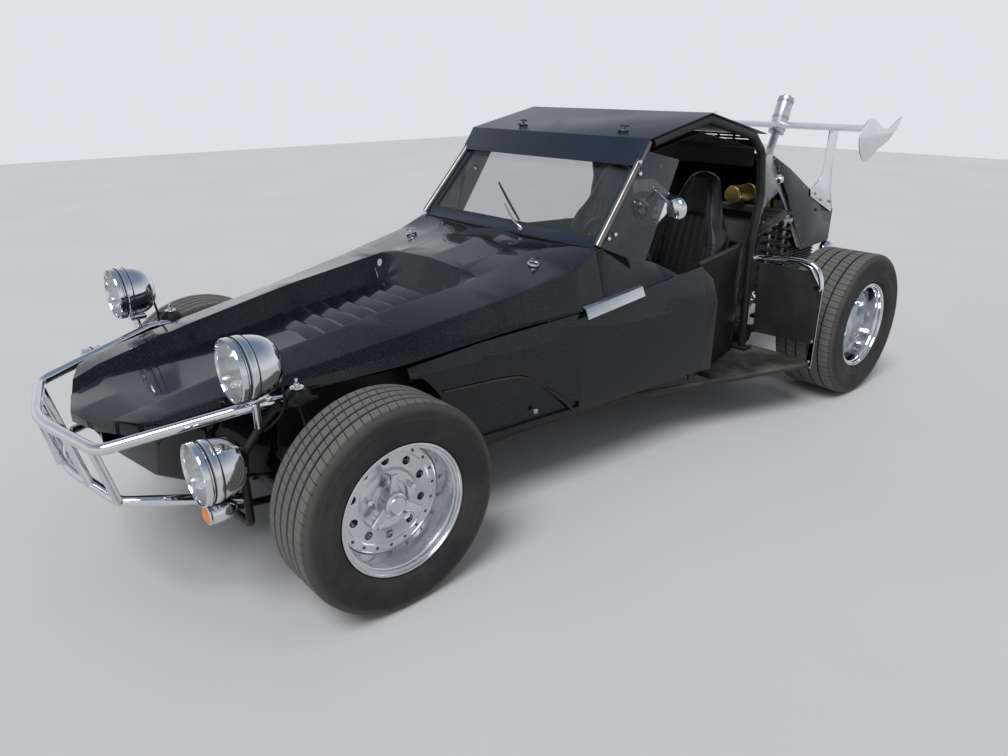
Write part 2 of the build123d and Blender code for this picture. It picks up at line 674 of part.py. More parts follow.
def sheet(path, drop, half):
    """Bent sheet: its upper face follows the path of x and z, its lower face lies drop below."""
    lower = []
    for i, (x, z) in enumerate(path):
        runs = [Vector(b[0] - a[0], b[1] - a[1]).normalized() for a, b in zip(path, path[1:])]
        near = runs[max(i - 1, 0):i + 1]
        along = sum(near, Vector(0, 0)).normalized()
        down = Vector(-along.Y, along.X)
        lean = down.dot(Vector(-near[0].Y, near[0].X))
        lower.append((x + down.X * drop / lean, z + down.Y * drop / lean))
    ring = [*path, *reversed(lower)]
    return plate([(x, -half, z) for x, z in ring], (0, 2 * half, 0))


def roof_panel():
    return sheet(ROOF_PATH, ROOF_T, ROOF_HALF)


def cage_leg_path():
    rise = -(ROOF_T + TUBE_R + 2 * SEAT)
    (x1, z1), (x2, z2), (x3, z3) = ROOF_PATH[1:]
    front_x = ahead(SCREEN_TOP[0] - 12)
    front_z = z1 + (z2 - z1) * (front_x - x1) / (x2 - x1) + rise * 1.03
    rear_x = hoop(104)
    rear_z = z2 + (z3 - z2) * (rear_x - x2) / (x3 - x2) + rise * 1.04
    return [(front_x, front_z), (x2, z2 + rise * 1.01), (rear_x, rear_z), (hoop(20), 1176), (hoop(-20), 986),
            (hoop(20), 790), (hoop(-8), 256)]


def roll_cage(frame, wall):
    """Side rails under the roof that run down into the main hoop, with two cross tubes."""
    cage = None
    path = cage_leg_path()
    for side in (1, -1):
        leg = tube([(x, side * HOOP_Y, z) for x, z in path], TUBE_R, 55)
        foot = block((hoop(-40), side * (FLOOR_HALF + 2), FLOOR_Z + RAIL_H),
                     (hoop(24), side * (HOOP_Y + 35), FLOOR_Z + RAIL_H + 12))
        cage = leg + foot if cage is None else cage + leg + foot
    for x, z in (path[1], (hoop(62), path[2][1] - 42)):
        cage += rod((x, -HOOP_Y, z - 2), (x, HOOP_Y, z - 2), TUBE_R - 4)
    return coped(cage, frame, wall)


def seat():
    """High-backed bucket: cushion and back in one moulding that narrows to the headrest."""
    x = behind(-794)
    profile = [(x + 430, SEAT_BASE_Z), (x + 450, 370), (x + 400, 410), (x + 110, 385), (x + 60, 425),
               (x - 135, 1060), (x - 165, 1100), (x - 212, 1100), (x - 236, 1065), (x - 75, SEAT_BASE_Z)]
    bucket = plate([(px, SEAT_Y - SEAT_HALF, pz + SEAT) for px, pz in profile], (0, 2 * SEAT_HALF, 0))
    widths = (
        # height, half width
        (SEAT_BASE_Z, SEAT_HALF),
        (760, SEAT_HALF),
        (870, SEAT_HALF - 24),
        (950, SEAT_HALF - 90),
        (1060, SEAT_HALF - 105),
        (1105, SEAT_HALF - 135),
    )
    rim = [(x - 240, SEAT_Y + half, z) for z, half in widths]
    rim += [(x - 240, SEAT_Y - half, z) for z, half in reversed(widths)]
    return bucket & plate(rim, (700, 0, 0))


DEFLECTOR_T = 5


def deflector_corners():
    """Lower front, lower rear, upper rear and upper front corners of the side wind deflector."""
    low_front = Vector(ahead(SCREEN_BASE[0] - 10), SCREEN_HALF_BASE - 1, SCREEN_BASE[1] - 2)
    high_front = Vector(ahead(SCREEN_TOP[0] + 50), SCREEN_HALF_TOP + 2, SCREEN_TOP[1] - 7)
    low_rear = low_front + Vector(-190, 48, -85)
    high_rear = high_front + (low_rear - low_front) * 0.85 - (high_front - low_front) * -0.08
    return low_front, low_rear, high_rear, high_front


def wind_deflector(*neighbours):
    corners = deflector_corners()
    push = (corners[1] - corners[0]).cross(corners[3] - corners[0]).normalized() * DEFLECTOR_T
    push = push if push.Y > 0 else push * -1
    panel = plate([tuple(c) for c in corners], tuple(push))
    return coped(panel, *neighbours)


def door_mirror(deflector):
    """Round head on a short arm from the deflector."""
    head = Vector(ahead(-1326), SCREEN_HALF_BASE + 120, 1029)
    bowl = Pos(*head) * Rot(0, 90, 0) * (Cylinder(42.5, 8) + Pos(0, 0, 12) * Cone(42.5, 22, 16))
    arm = rod((ahead(-1338), SCREEN_HALF_TOP, 1092), tuple(head), 6)
    return coped(bowl + arm, deflector)


# Nose: bumper, lamps and their brackets

BUMPER_R = 16
LAMP_Y = 508
LOWER_LAMP_Y = 500
BRACKET_Y = 490
LAMP_R = 90
LAMP_DEPTH = 140
LENS_T = 8


def lamp_bracket(beam):
    """Bent tube from the shock tower down past both lamps and in to the beam."""
    path = [(220, BRACKET_Y, 640), (280, BRACKET_Y, 588), (335, BRACKET_Y, 525), (345, BRACKET_Y, 447),
            (345, BRACKET_Y, 300), (345, 330, 280), (BEAM_X, 330, BEAM_Z[0])]
    post = tube([(ahead(x), y, z) for x, y, z in path], 12, 22)
    lug = block((ahead(195), BRACKET_Y - 14, 622), (ahead(232), BRACKET_Y + 14, 634))
    return coped(post + lug, beam)


def lamp(x, y, z):
    """Round bowl with a rim, hollow behind its lens."""
    profile = [(0, 0), (LAMP_R, 0), (LAMP_R, -18), (LAMP_R - 3, -21), (LAMP_R - 3, -28), (LAMP_R, -31),
               (LAMP_R, -48), (LAMP_R - 4, -54), (LAMP_R - 9, -82), (LAMP_R - 22, -108), (LAMP_R - 45, -128),
               (25, -137), (0, -LAMP_DEPTH)]
    cavity = [(0, 1), (LAMP_R - 8, 1), (LAMP_R - 8, -18), (LAMP_R - 11, -48), (LAMP_R - 18, -76),
              (LAMP_R - 32, -98), (LAMP_R - 56, -114), (0, -121)]
    bowl = revolve(make_face(Polyline(*[(r, 0, d) for r, d in profile], close=True)), axis=Axis.Z)
    bowl -= revolve(make_face(Polyline(*[(r, 0, d) for r, d in cavity], close=True)), axis=Axis.Z)
    return Pos(ahead(x), y, z) * Rot(0, 90, 0) * bowl


def lens(x, y, z):
    return Pos(ahead(x) - LENS_T / 2, y, z) * Rot(0, 90, 0) * Cylinder(LAMP_R - 8, LENS_T)


UPPER_LAMP = (354, LAMP_Y, 772)
LOWER_LAMP = (481, LOWER_LAMP_Y, 511)


def upper_lamp(bracket):
    stem = rod((ahead(284), BRACKET_Y, 590), (ahead(295), LAMP_Y, 700), 10)
    cut = Pos(ahead(UPPER_LAMP[0]) - 60, LAMP_Y, UPPER_LAMP[2]) * Rot(0, 90, 0) * Cylinder(LAMP_R - 20, 100)
    return coped(lamp(*UPPER_LAMP) + (stem - cut), bracket)


def lower_lamp(bracket):
    return coped(lamp(*LOWER_LAMP), bracket)


def turn_signal(bracket, rails):
    body = Rot(0, 90, 0) * (Cylinder(30, 70) + Pos(0, 0, -52) * Cone(12, 30, 34) + Pos(0, 0, 43) * Cone(30, 14, 16))
    return coped(Pos(ahead(420), BRACKET_Y, 377) * body, bracket, rails)


def bumper(beam, brackets):
    """Two bent rails across the nose joined by flat upright bars."""
    nose = FRONT_REACH - BUMPER_R
    rails = None
    for half, bends in (
        ([(190, 480, 638), (266, 465, 642), (659, 325, 576), (nose, 0, 580)], [40, 60, 400, 60, 40]),
        ([(345, 478, 380), (625, 290, 395), (698, 0, 424)], [60, 400, 60]),
    ):
        left = [(ahead(x), y, z) for x, y, z in half]
        path = left + [(x, -y, z) for x, y, z in reversed(left[:-1])]
        run = tube(path, BUMPER_R, bends)
        rails = run if rails is None else rails + run
    for y, top_x, top_z, low_x, low_z in ((0, nose, 580, 698, 424), (165, 699, 578, 664, 411),
                                          (300, 666, 576, 628, 395)):
        for side in ((1, -1) if y else (1,)):
            bar = plate([(ahead(top_x) + 3, side * y - 12, top_z), (ahead(top_x) + 3, side * y + 12, top_z),
                         (ahead(low_x) + 3, side * y + 12, low_z), (ahead(low_x) + 3, side * y - 12, low_z)],
                        (-6, 0, 0))
            rails += bar
    return coped(rails, beam, *brackets)


# Rear: frame, suspension, engine, covers, wing and exhaust

TORSION = (behind(-420), 300, 55)  # x, z, radius
TORSION_HALF = 450
CROSS_TUBE = (behind(-144), 860)
SPRING_Y = 420
SPRING_X = (behind(-224), behind(-84))
SPRING_R = 36
SPRING_TOP = 850
ARM_Z = 300
ARM_DEEP = 36


def rear_frame(cage, pan):
    """Torsion tube, horns under the gearbox and the raised cross tube over the springs."""
    x, z, radius = TORSION
    frame = rod((x, -TORSION_HALF, z), (x, TORSION_HALF, z), radius)
    frame += block((x, -150, FLOOR_Z), (behind(-470), 150, FLOOR_Z + TUNNEL_H))
    for side in (1, -1):
        inner, outer = sorted((side * 120, side * 170))
        frame += block((behind(60), inner, 210), (x, outer, 250))
        plate_inner, plate_outer = sorted((side * (SPRING_Y - 40), side * (SPRING_Y + 40)))
        frame += block((SPRING_X[0] - 40 - (SPRING_X[0] - SPRING_X[1]), plate_inner, SPRING_TOP),
                       (SPRING_X[0] + 40, plate_outer, SPRING_TOP + 8))
    cross_x, cross_z = CROSS_TUBE
    frame += tube([(hoop(20), HOOP_Y, 800), (cross_x, 450, cross_z), (cross_x, -450, cross_z),
                   (hoop(20), -HOOP_Y, 800)], TUBE_R, 50)
    for side in (1, -1):
        y = side * (SPRING_Y - SPRING_R - 32)
        frame += rod((x, y, z), (cross_x, y, cross_z), 15)
    return coped(frame, cage, pan)


def rear_arm():
    """Trailing blade from the torsion tube's end to the hub carrier, with a spring bracket."""
    x, z, radius = TORSION
    inner = TORSION_HALF + SEAT
    cap = rod((x, inner, z), (x, inner + 25, z), radius - 7)
    outline = [(x + 40, inner), (x + 40, inner + 25), (behind(-380), inner + 25), (behind(-215), 565),
               (behind(-150), 568), (behind(-110), 600), (behind(-40), 639), (behind(20), 639),
               (behind(20), 584), (behind(-59), 582), (behind(-110), 556), (behind(-220), 528),
               (behind(-390), inner)]
    blade = plate([(px, py, ARM_Z) for px, py in outline], (0, 0, ARM_DEEP))
    shelf = block((behind(-58), SPRING_Y - 30, ARM_Z + ARM_DEEP), (behind(-260), 550, ARM_Z + ARM_DEEP + 16))
    carrier = rod((REAR_AXLE_X, CARRIER_Y[0], REAR_AXLE_Z), (REAR_AXLE_X, CARRIER_Y[1], REAR_AXLE_Z), 62)
    bore = rod((REAR_AXLE_X, 500, REAR_AXLE_Z), (REAR_AXLE_X, 700, REAR_AXLE_Z), STUB_R + RUNNING)
    joint = rod((REAR_AXLE_X, 400, REAR_AXLE_Z), (REAR_AXLE_X, CARRIER_Y[0] - 1, REAR_AXLE_Z), CV_R + 6)
    return coped(cap + blade + shelf + carrier, bore, joint)


def coil_over(x):
    """Damper inside a spring, drawn as a ribbed sleeve of the spring's coils."""
    low = ARM_Z + ARM_DEEP + 16
    coils = 9
    bottom, top = low + 70, SPRING_TOP - 30
    pitch = (top - bottom) / coils
    profile = [(0, low), (18, low), (18, bottom - 8), (SPRING_R + 2, bottom - 8)]
    for i in range(coils):
        z = bottom + i * pitch
        profile += [(SPRING_R + 2, z), (SPRING_R + 2, z + pitch * 0.45), (SPRING_R - 8, z + pitch * 0.55)]
        profile += [(SPRING_R - 8, z + pitch * 0.9)]
    profile += [(SPRING_R, top), (SPRING_R, top + 8), (16, top + 8), (16, SPRING_TOP), (0, SPRING_TOP)]
    return Pos(x, SPRING_Y, 0) * revolve(make_face(Polyline(*[(r, 0, z) for r, z in profile], close=True)),
                                         axis=Axis.Z)


def engine_block():
    """Gearbox and engine as one plain mass on the frame horns."""
    box = block((behind(70), -GEARBOX_HALF, 250), (behind(-340), GEARBOX_HALF, 470))
    motor = block((behind(560), -265, 330), (behind(70), 265, 740))
    return box + motor


COVER_HALF = 350
COVER_TAIL_HALF = 310
COVER_WALL = 4


def cover_prism(inset):
    """Wedge of the rear cover: the side outline drawn across and trimmed to its plan."""
    tail = TAIL_REACH - inset
    side = [(behind(-159 - inset), 1133 - inset), (behind(608), 809 - inset), (behind(tail - 20), 700 - inset),
            (behind(tail), 670), (behind(tail - 30), 620), (behind(626), 600 - inset), (behind(332), 591 - inset)]
    plan = [(behind(-170 - inset), COVER_HALF - inset), (behind(30), COVER_HALF - inset),
            (behind(320), COVER_TAIL_HALF - inset), (behind(640), COVER_TAIL_HALF - inset),
            (behind(tail), COVER_TAIL_HALF - 70 - inset)]
    plan += [(x, -y) for x, y in reversed(plan)]
    wedge = plate([(x, -500, z) for x, z in side], (0, 1000, 0))
    return wedge & plate([(x, y, 400) for x, y in plan], (0, 0, 900))


def rear_cover():
    """Tapered engine cover, open below and at the seam."""
    cover = cover_prism(0) - cover_prism(COVER_WALL)
    front = plate([(behind(-175), -400, 1110), (behind(327), -400, 560), (behind(-175), -400, 560)], (0, 800, 0))
    cover -= front & plate([(behind(-175), -400, 1160), (behind(-140), -400, 1110), (behind(340), -400, 580),
                            (behind(-175), -400, 580)], (0, 800, 0))
    hole = Pos(behind(540), PIPE_Y, 880) * Cylinder(40, 400)
    return coped(cover, hole)


def quarter_panel(cover, cage, frame):
    """Ruled panel from the hoop back to the seam of the cover, arched over the springs."""
    front_x, rear_x = hoop(-20), behind(-159)
    rings = [
        [(front_x, HOOP_Y - 2, 1165), (front_x, HOOP_Y - 2, 860), (front_x, HOOP_Y + 2, 860),
         (front_x, HOOP_Y + 2, 1165)],
        [(rear_x, COVER_HALF - 4, 1133), (behind(340), COVER_TAIL_HALF - 4, 588),
         (behind(340), COVER_TAIL_HALF + 2, 588), (rear_x, COVER_HALF + 2, 1133)],
    ]
    arch = [(hoop(-60), 400), (hoop(-60), 870), (hoop(-150), 940), (behind(-130), 955), (behind(-20), 880),
            (behind(285), 560), (behind(285), 400)]
    panel = lofted(rings) - plate([(x, 0, z) for x, z in arch], (0, 800, 0))
    return coped(panel, cover, cage, frame)


WING_SPAN_HALF = 570
WING_NOSE = behind(286)
WING_TAIL = behind(556)
UPRIGHT_T = 5


def wing():
    """Aerofoil across the tail with a leaf-shaped plate at each end."""
    nose, tail = (WING_NOSE, 1234), (WING_TAIL, 1216)
    upper = ThreePointArc(nose, (behind(386), 1254), tail)
    lower = ThreePointArc(tail, (behind(386), 1222), nose)
    section = Plane.XZ * make_face(upper + lower)
    blade = Pos(0, WING_SPAN_HALF, 0) * extrude(section, 2 * WING_SPAN_HALF)
    leaf = ((286, 1253), (386, 1285), (500, 1243), (600, 1240), (712, 1284), (640, 1200), (480, 1130),
            (356, 1082), (290, 1130))
    outline = Spline(*[(behind(d), z) for d, z in leaf], periodic=True)
    for side in (1, -1):
        end = Pos(0, side * WING_SPAN_HALF + 2, 0) * extrude(Plane.XZ * make_face(outline), 4)
        blade += end
    return blade


def wing_upright(blade, cover):
    outline = [(behind(460), 1240), (behind(565), 1240), (behind(552), 1010), (behind(575), 900),
               (behind(619), 800), (behind(612), 770), (behind(352), 880), (behind(341), 917),
               (behind(425), 960), (behind(455), 1020)]
    y = COVER_TAIL_HALF
    return coped(plate([(x, y, z) for x, z in outline], (0, UPRIGHT_T, 0)), blade, cover)


PIPE_Y = -80


def exhaust(motor):
    """Upswept pipe from the engine to a round silencer behind the wing."""
    low, high = (behind(598), PIPE_Y, 1180), (behind(671), PIPE_Y, 1372)
    can = rod(low, high, 45)
    pipe = tube([(behind(540), PIPE_Y, 735), (behind(540), PIPE_Y, 950), (behind(560), PIPE_Y, 1090), low], 22, 60)
    tip = Vector(*high) - Vector(*low)
    outlet = rod(high, tuple(Vector(*high) + tip.normalized() * 12), 24)
    return coped(can + pipe + outlet, motor)


def intake(motor):
    """Round air canister ahead of the engine with its elbow."""
    can = rod((behind(-244), 200, 932), (behind(-74), 200, 932), 43)
    elbow = tube([(behind(-80), 200, 932), (behind(120), 200, 932), (behind(120), 200, 735)], 26, 60)
    return coped(can + elbow, motor)


def tail_lamp(cover):
    bullet = Cylinder(40, 60) + Pos(0, 0, 45) * Cone(40, 18, 30)
    return coped(Pos(behind(640), COVER_TAIL_HALF - 2, 600 - 40) * Rot(0, 90, 0) * bullet, cover)


# Running boards, rails and mud panels beside the rear wheels

BOARD_TUBE_R = 14
MUD_X = hoop(-50)
MUD_T = 4
STRUT_Y = (815, 840)


def running_board(pan, wall):
    """Plate behind the side pod with a tube along its outer edge."""
    top = FLOOR_Z + RAIL_H
    path = [(ahead(-700), 400, 222), (ahead(-1240), 494, 238), (behind(-854), 686, 240), (hoop(-68), 826, 240)]
    edge = tube(path, BOARD_TUBE_R, 90)
    board = plate([(behind(-944), SCREEN_HALF_BASE + 122, top), (behind(-944), SCREEN_HALF_BASE + 30, top),
                   (behind(-790), SCREEN_HALF_BASE - 30, top),
                   (hoop(24), 420, top), (hoop(-28), 420, top), (hoop(-28), 490, top), (hoop(-90), 495, top),
                   (hoop(-90), 826, top)], (0, 0, -6))
    return coped(edge + board, pan, wall)


def grab_rail(cage, board):
    """Bent rail from the hoop over the mud panel, with a flat strut down to the running board."""
    path = [(MUD_X, HOOP_Y, 694), (MUD_X, 706, 712), (MUD_X, 776, 688), (MUD_X, 830, 610)]
    rail = tube(path, 12, 30) + block((MUD_X - 8, 800, 596), (MUD_X + 8, 838, 612))
    rail += rod((hoop(10), HOOP_Y, 694), (MUD_X, HOOP_Y + 6, 694), 12)
    strut = block((MUD_X - 2, STRUT_Y[0], 230), (MUD_X + 2, STRUT_Y[1], 610))
    return coped(rail + strut, cage, board)


def mud_panel(rail):
    front = MUD_X + 2
    outline = [(HOOP_Y + 22, 636), (780, 636), (STRUT_Y[1], 585), (STRUT_Y[1], 350), (HOOP_Y + 33, 335)]
    return coped(plate([(front, y, z) for y, z in outline], (MUD_T, 0, 0)), rail)


def build_all():
    wheels()
    beam = front_beam()
    sides = body_side()
    pan = floor_pan()
    wall = rear_bulkhead(pan)
    frame = windscreen_frame()
    cage = roll_cage(frame, wall)
    back = rear_frame(cage, pan)
    motor = engine_block()
    cover = rear_cover()
    blade = wing()
    roof = roof_panel()
    deflector = wind_deflector(frame, sides, roof)
    bracket = lamp_bracket(beam)
    board = running_board(pan, wall)
    rail = grab_rail(cage, board)
    rails = bumper(beam, [bracket, right_of(bracket)])
    save("hood", hood())
    save("body_sides", both_sides(sides))
    save("rear_bulkhead", wall)
    save("nose_pan", nose_pan(beam))
    save("floor_pan", pan)
    save("scuttle", scuttle([sides, right_of(sides)], pan))
    save("front_beam", beam)
    save("front_arms", both_sides(*front_arms()))
    save("front_shocks", both_sides(front_shock(beam)))
    save("knuckle_left", knuckle())
    save("knuckle_right", right_of(knuckle()))
    save("tie_rod", tie_rod())
    save("dashboard", dashboard())
    save("steering_column", steering_column())
    save("steering_wheel", steering_wheel())
    save("windscreen_frame", frame)
    save("windscreen_glass", windscreen_glass())
    save("roof_panel", roof)
    save("roll_cage", cage)
    save("seats", both_sides(seat()))
    save("wind_deflectors", both_sides(deflector))
    save("door_mirrors", both_sides(door_mirror(deflector)))
    save("lamp_brackets", both_sides(bracket))
    save("upper_lamps", both_sides(upper_lamp(bracket)))
    save("lower_lamps", both_sides(lower_lamp(bracket)))
    save("lamp_lenses", both_sides(lens(*UPPER_LAMP), lens(*LOWER_LAMP)))
    save("turn_signals", both_sides(turn_signal(bracket, rails)))
    save("bumper", rails)
    save("rear_frame", back)
    save("rear_arms", both_sides(rear_arm()))
    save("coil_overs", both_sides(*[coil_over(x) for x in SPRING_X]))
    save("engine_block", motor)
    save("rear_cover", cover)
    save("quarter_panels", both_sides(quarter_panel(cover, cage, back)))
    save("wing", blade)
    save("wing_uprights", both_sides(wing_upright(blade, cover)))
    save("exhaust", exhaust(motor))
    save("intake", intake(motor))
    save("tail_lamps", both_sides(tail_lamp(cover)))
    save("running_boards", both_sides(board))
    save("grab_rails", both_sides(rail))
    save("mud_panels", both_sides(mud_panel(rail)))


build_all()
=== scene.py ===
# %% [markdown]
# # A dune buggy, dressed for its picture
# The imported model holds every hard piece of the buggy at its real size. This lesson loads it,
# sets the stage, mixes the finishes and then models, piece by piece, what the eye expects close
# up: tyre treads, coil springs, latches, padding and lenses.

# %% Load the model
import math

import bmesh
import bpy
from mathutils import Matrix, Vector


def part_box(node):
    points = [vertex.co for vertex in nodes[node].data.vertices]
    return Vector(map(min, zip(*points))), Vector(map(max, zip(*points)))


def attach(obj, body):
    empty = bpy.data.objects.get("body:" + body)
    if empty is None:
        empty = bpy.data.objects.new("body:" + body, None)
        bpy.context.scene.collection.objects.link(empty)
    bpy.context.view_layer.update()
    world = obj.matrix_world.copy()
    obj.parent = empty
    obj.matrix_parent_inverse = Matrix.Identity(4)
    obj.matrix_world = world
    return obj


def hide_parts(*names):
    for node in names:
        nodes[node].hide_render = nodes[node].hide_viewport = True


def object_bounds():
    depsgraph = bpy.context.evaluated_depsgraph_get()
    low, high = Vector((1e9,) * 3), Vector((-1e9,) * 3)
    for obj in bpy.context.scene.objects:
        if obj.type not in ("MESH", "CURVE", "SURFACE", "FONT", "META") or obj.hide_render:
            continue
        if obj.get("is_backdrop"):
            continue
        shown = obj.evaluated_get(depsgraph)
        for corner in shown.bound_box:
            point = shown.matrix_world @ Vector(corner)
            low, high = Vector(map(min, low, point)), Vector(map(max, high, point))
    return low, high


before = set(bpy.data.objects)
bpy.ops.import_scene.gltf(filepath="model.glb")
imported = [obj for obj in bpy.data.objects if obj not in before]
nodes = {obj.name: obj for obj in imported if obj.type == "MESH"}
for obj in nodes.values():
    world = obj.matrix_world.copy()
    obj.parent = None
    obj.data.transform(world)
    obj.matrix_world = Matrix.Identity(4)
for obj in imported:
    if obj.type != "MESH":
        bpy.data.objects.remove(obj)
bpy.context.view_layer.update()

# %% [markdown]
# ## Where things are
# The axles are read from the tyres' boxes, and most details are placed from the nearer axle, so
# they stay on their carriers when the wheelbase changes.


# %% Key places
def wheel_of(name):
    """Centre and radius of a tyre."""
    low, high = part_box("tyre_" + name)
    return (low + high) / 2, (high.z - low.z) / 2


WHEELS = {"front": wheel_of("front_left"), "rear": wheel_of("rear_left")}
FRONT_AXLE = WHEELS["front"][0].x
REAR_AXLE = WHEELS["rear"][0].x


def front(ahead, across, high):
    """Point placed from the front axle."""
    return Vector((FRONT_AXLE + ahead, across, high))


def rear(behind, across, high):
    """Point placed from the rear axle."""
    return Vector((REAR_AXLE - behind, across, high))


print("axles at", round(FRONT_AXLE, 3), round(REAR_AXLE, 3))

# %% [markdown]
# ## Camera
# The photographer stood by the left front wheel and held a wide lens at head height. The camera
# is placed from the front axle and turned with the three angles that were solved from the
# photograph, so the picture lines up with it.

# %% Camera
LENS_MM = 26.83
SENSOR_MM = 36
EYE = front(1.014, 2.347, 1.477)
YAW, PITCH, ROLL = (math.radians(degrees) for degrees in (-131.245, 21.683, -0.155))

forward = Vector((math.cos(YAW) * math.cos(PITCH), math.sin(YAW) * math.cos(PITCH), -math.sin(PITCH)))
right = forward.cross(Vector((0, 0, 1))).normalized()
up = right.cross(forward)
camera_data = bpy.data.cameras.new("photographer")
camera_data.lens = LENS_MM
camera_data.sensor_width = SENSOR_MM
camera = bpy.data.objects.new("photographer", camera_data)
bpy.context.scene.collection.objects.link(camera)
turn = Matrix((right, up, -forward)).transposed() @ Matrix.Rotation(ROLL, 3, "Z")
camera.matrix_world = Matrix.Translation(EYE) @ turn.to_4x4()
bpy.context.scene.camera = camera
bpy.context.scene.view_settings.view_transform = "Standard"
print("camera at", [round(v, 3) for v in EYE])

# %% [markdown]
# ## Shader arithmetic
# A finish is easier to read as a sum than as a heap of nodes. `Nodes` wraps a node tree and has
# one method that adds any node, and `Finish` is the tree of one material. `Wire` wraps one
# socket, and its operators add Math nodes.


# %% Wire, Nodes and Finish
class Wire:
    """One socket of a tree; arithmetic on it adds Math nodes."""

    def __init__(self, owner, socket):
        self.owner = owner
        self.socket = socket

    def math(self, operation, *values):
        return self.owner.node("ShaderNodeMath", {"operation": operation}, dict(enumerate((self, *values))))

    def __add__(self, other):
        return self.math("ADD", other)

    def __sub__(self, other):
        return self.math("SUBTRACT", other)

    def __rsub__(self, other):
        return self * -1 + other

    def __mul__(self, other):
        return self.math("MULTIPLY", other)

    __radd__ = __add__
    __rmul__ = __mul__

    def above(self, low, high):
        """0 below low, 1 above high, smooth between."""
        return self.owner.node("ShaderNodeMapRange", {"interpolation_type": "SMOOTHSTEP"},
                               {"Value": self, "From Min": low, "From Max": high})


class Nodes:
    """The node tree of a material or world; node() returns the wire of one output."""

    def __init__(self, owner):
        owner.use_nodes = True
        self.tree = owner.node_tree

    def node(self, kind, settings=None, inputs=None, output=0):
        made = self.tree.nodes.new(kind)
        for key, value in (settings or {}).items():
            setattr(made, key, value)
        for key, value in (inputs or {}).items():
            self.feed(made.inputs[key], value)
        return Wire(self, made.outputs[output])

    def feed(self, socket, value):
        if isinstance(value, Wire):
            self.tree.links.new(value.socket, socket)
        else:
            socket.default_value = value

    def axis(self, place, name):
        return self.node("ShaderNodeSeparateXYZ", {}, {0: place}, name)

    def mix(self, mask, first, second):
        """Colour mix: first where the mask is 0, second where it is 1."""
        return self.node("ShaderNodeMix", {"data_type": "RGBA"}, {0: mask, 6: first, 7: second}, 2)


class Finish(Nodes):
    """One material."""

    def __init__(self, name):
        self.material = bpy.data.materials.new(name)
        super().__init__(self.material)
        self.shader = self.tree.nodes["Principled BSDF"]

    def surface(self, **values):
        """Set or link sockets of the main shader; underscores stand for spaces."""
        for key, value in values.items():
            self.feed(self.shader.inputs[key.replace("_", " ")], value)
        return self

    def place(self, centre=(0, 0, 0), scale=(1, 1, 1)):
        """Object coordinates, measured from centre and then scaled."""
        raw = self.node("ShaderNodeTexCoord", output="Object")
        moved = self.node("ShaderNodeVectorMath", {"operation": "SUBTRACT"}, {0: raw, 1: centre})
        return self.node("ShaderNodeMapping", {}, {"Vector": moved, "Scale": scale})

    def noise(self, place, scale, detail=3, rough=0.55):
        return self.node("ShaderNodeTexNoise", {}, {"Vector": place, "Scale": scale, "Detail": detail,
                                                    "Roughness": rough})

    def cells(self, place, scale, output="Color"):
        return self.node("ShaderNodeTexVoronoi", {}, {"Vector": place, "Scale": scale}, output)

    def wave(self, place, scale, along_axis):
        return self.node("ShaderNodeTexWave", {"bands_direction": along_axis},
                         {"Vector": place, "Scale": scale})

    def facing_up(self):
        """1 on faces that look at the sky, 0 on upright and lower ones."""
        return self.axis(self.node("ShaderNodeNewGeometry", output="Normal"), "Z").above(0.15, 0.95)

    def bump(self, height, strength, distance):
        return self.node("ShaderNodeBump", {}, {"Height": height, "Strength": strength,
                                                "Distance": distance})


def shade(red, green, blue):
    return (red, green, blue, 1)


# %% [markdown]
# ## Black gel coat
# The body is moulded in black gel coat with fine metal flakes in it and a film of road dust on
# what faces the sky. Flakes are the cells of a small Voronoi pattern, of which only the
# brightest few show. Dust is soft noise times the upward face mask, and it dulls the gloss.


# %% Black gel coat
def gel_coat(name, dusty):
    coat = Finish(name)
    place = coat.place()
    flake = coat.axis(coat.cells(place, 620), "X").above(0.9, 0.97)
    cloud = coat.noise(place, 2.6, 5).above(0.35, 0.75)
    fine = coat.noise(place, 38, 4, 0.7).above(0.42, 0.8)
    dust = coat.facing_up() * (0.35 + 0.65 * cloud) * (0.45 + 0.55 * fine) * dusty
    speck = coat.mix(flake * 0.35, shade(0.0025, 0.003, 0.005), shade(0.1, 0.12, 0.15))
    colour = coat.mix(dust, speck, shade(0.05, 0.06, 0.08))
    ripple = coat.noise(place, 9, 2)
    return coat.surface(Base_Color=colour, Roughness=0.2 + dust * 0.75, Coat_Weight=0.9 - dust * 0.6,
                        Coat_Roughness=0.035, Coat_IOR=1.4, Specular_IOR_Level=0.08,
                        Normal=coat.bump(ripple, 0.05, 0.003))


gel_black = gel_coat("gel_coat_black", 0.11)
print("finish", gel_black.material.name)

# %% [markdown]
# ## Paints
# Painted pieces are all dark here, so what tells them apart is how they scatter light: each
# paint gets its own roughness, grain and dirt.


# %% Painted and moulded finishes
def painted(name, colour, dirt_colour, rough, dirt, grain=70):
    """Paint with soft dirt that gathers on upward faces and in its grain."""
    paint = Finish(name)
    place = paint.place()
    cloud = paint.noise(place, 3.2, 5, 0.6).above(0.38, 0.72)
    fine = paint.noise(place, grain, 3, 0.6)
    film = (0.25 + 0.75 * paint.facing_up()) * cloud * dirt
    return paint.surface(Base_Color=paint.mix(film, colour, dirt_colour),
                         Roughness=rough + film * 0.35 + fine * 0.08,
                         Specular_IOR_Level=0.3, Normal=paint.bump(fine, 0.12, 0.0015))


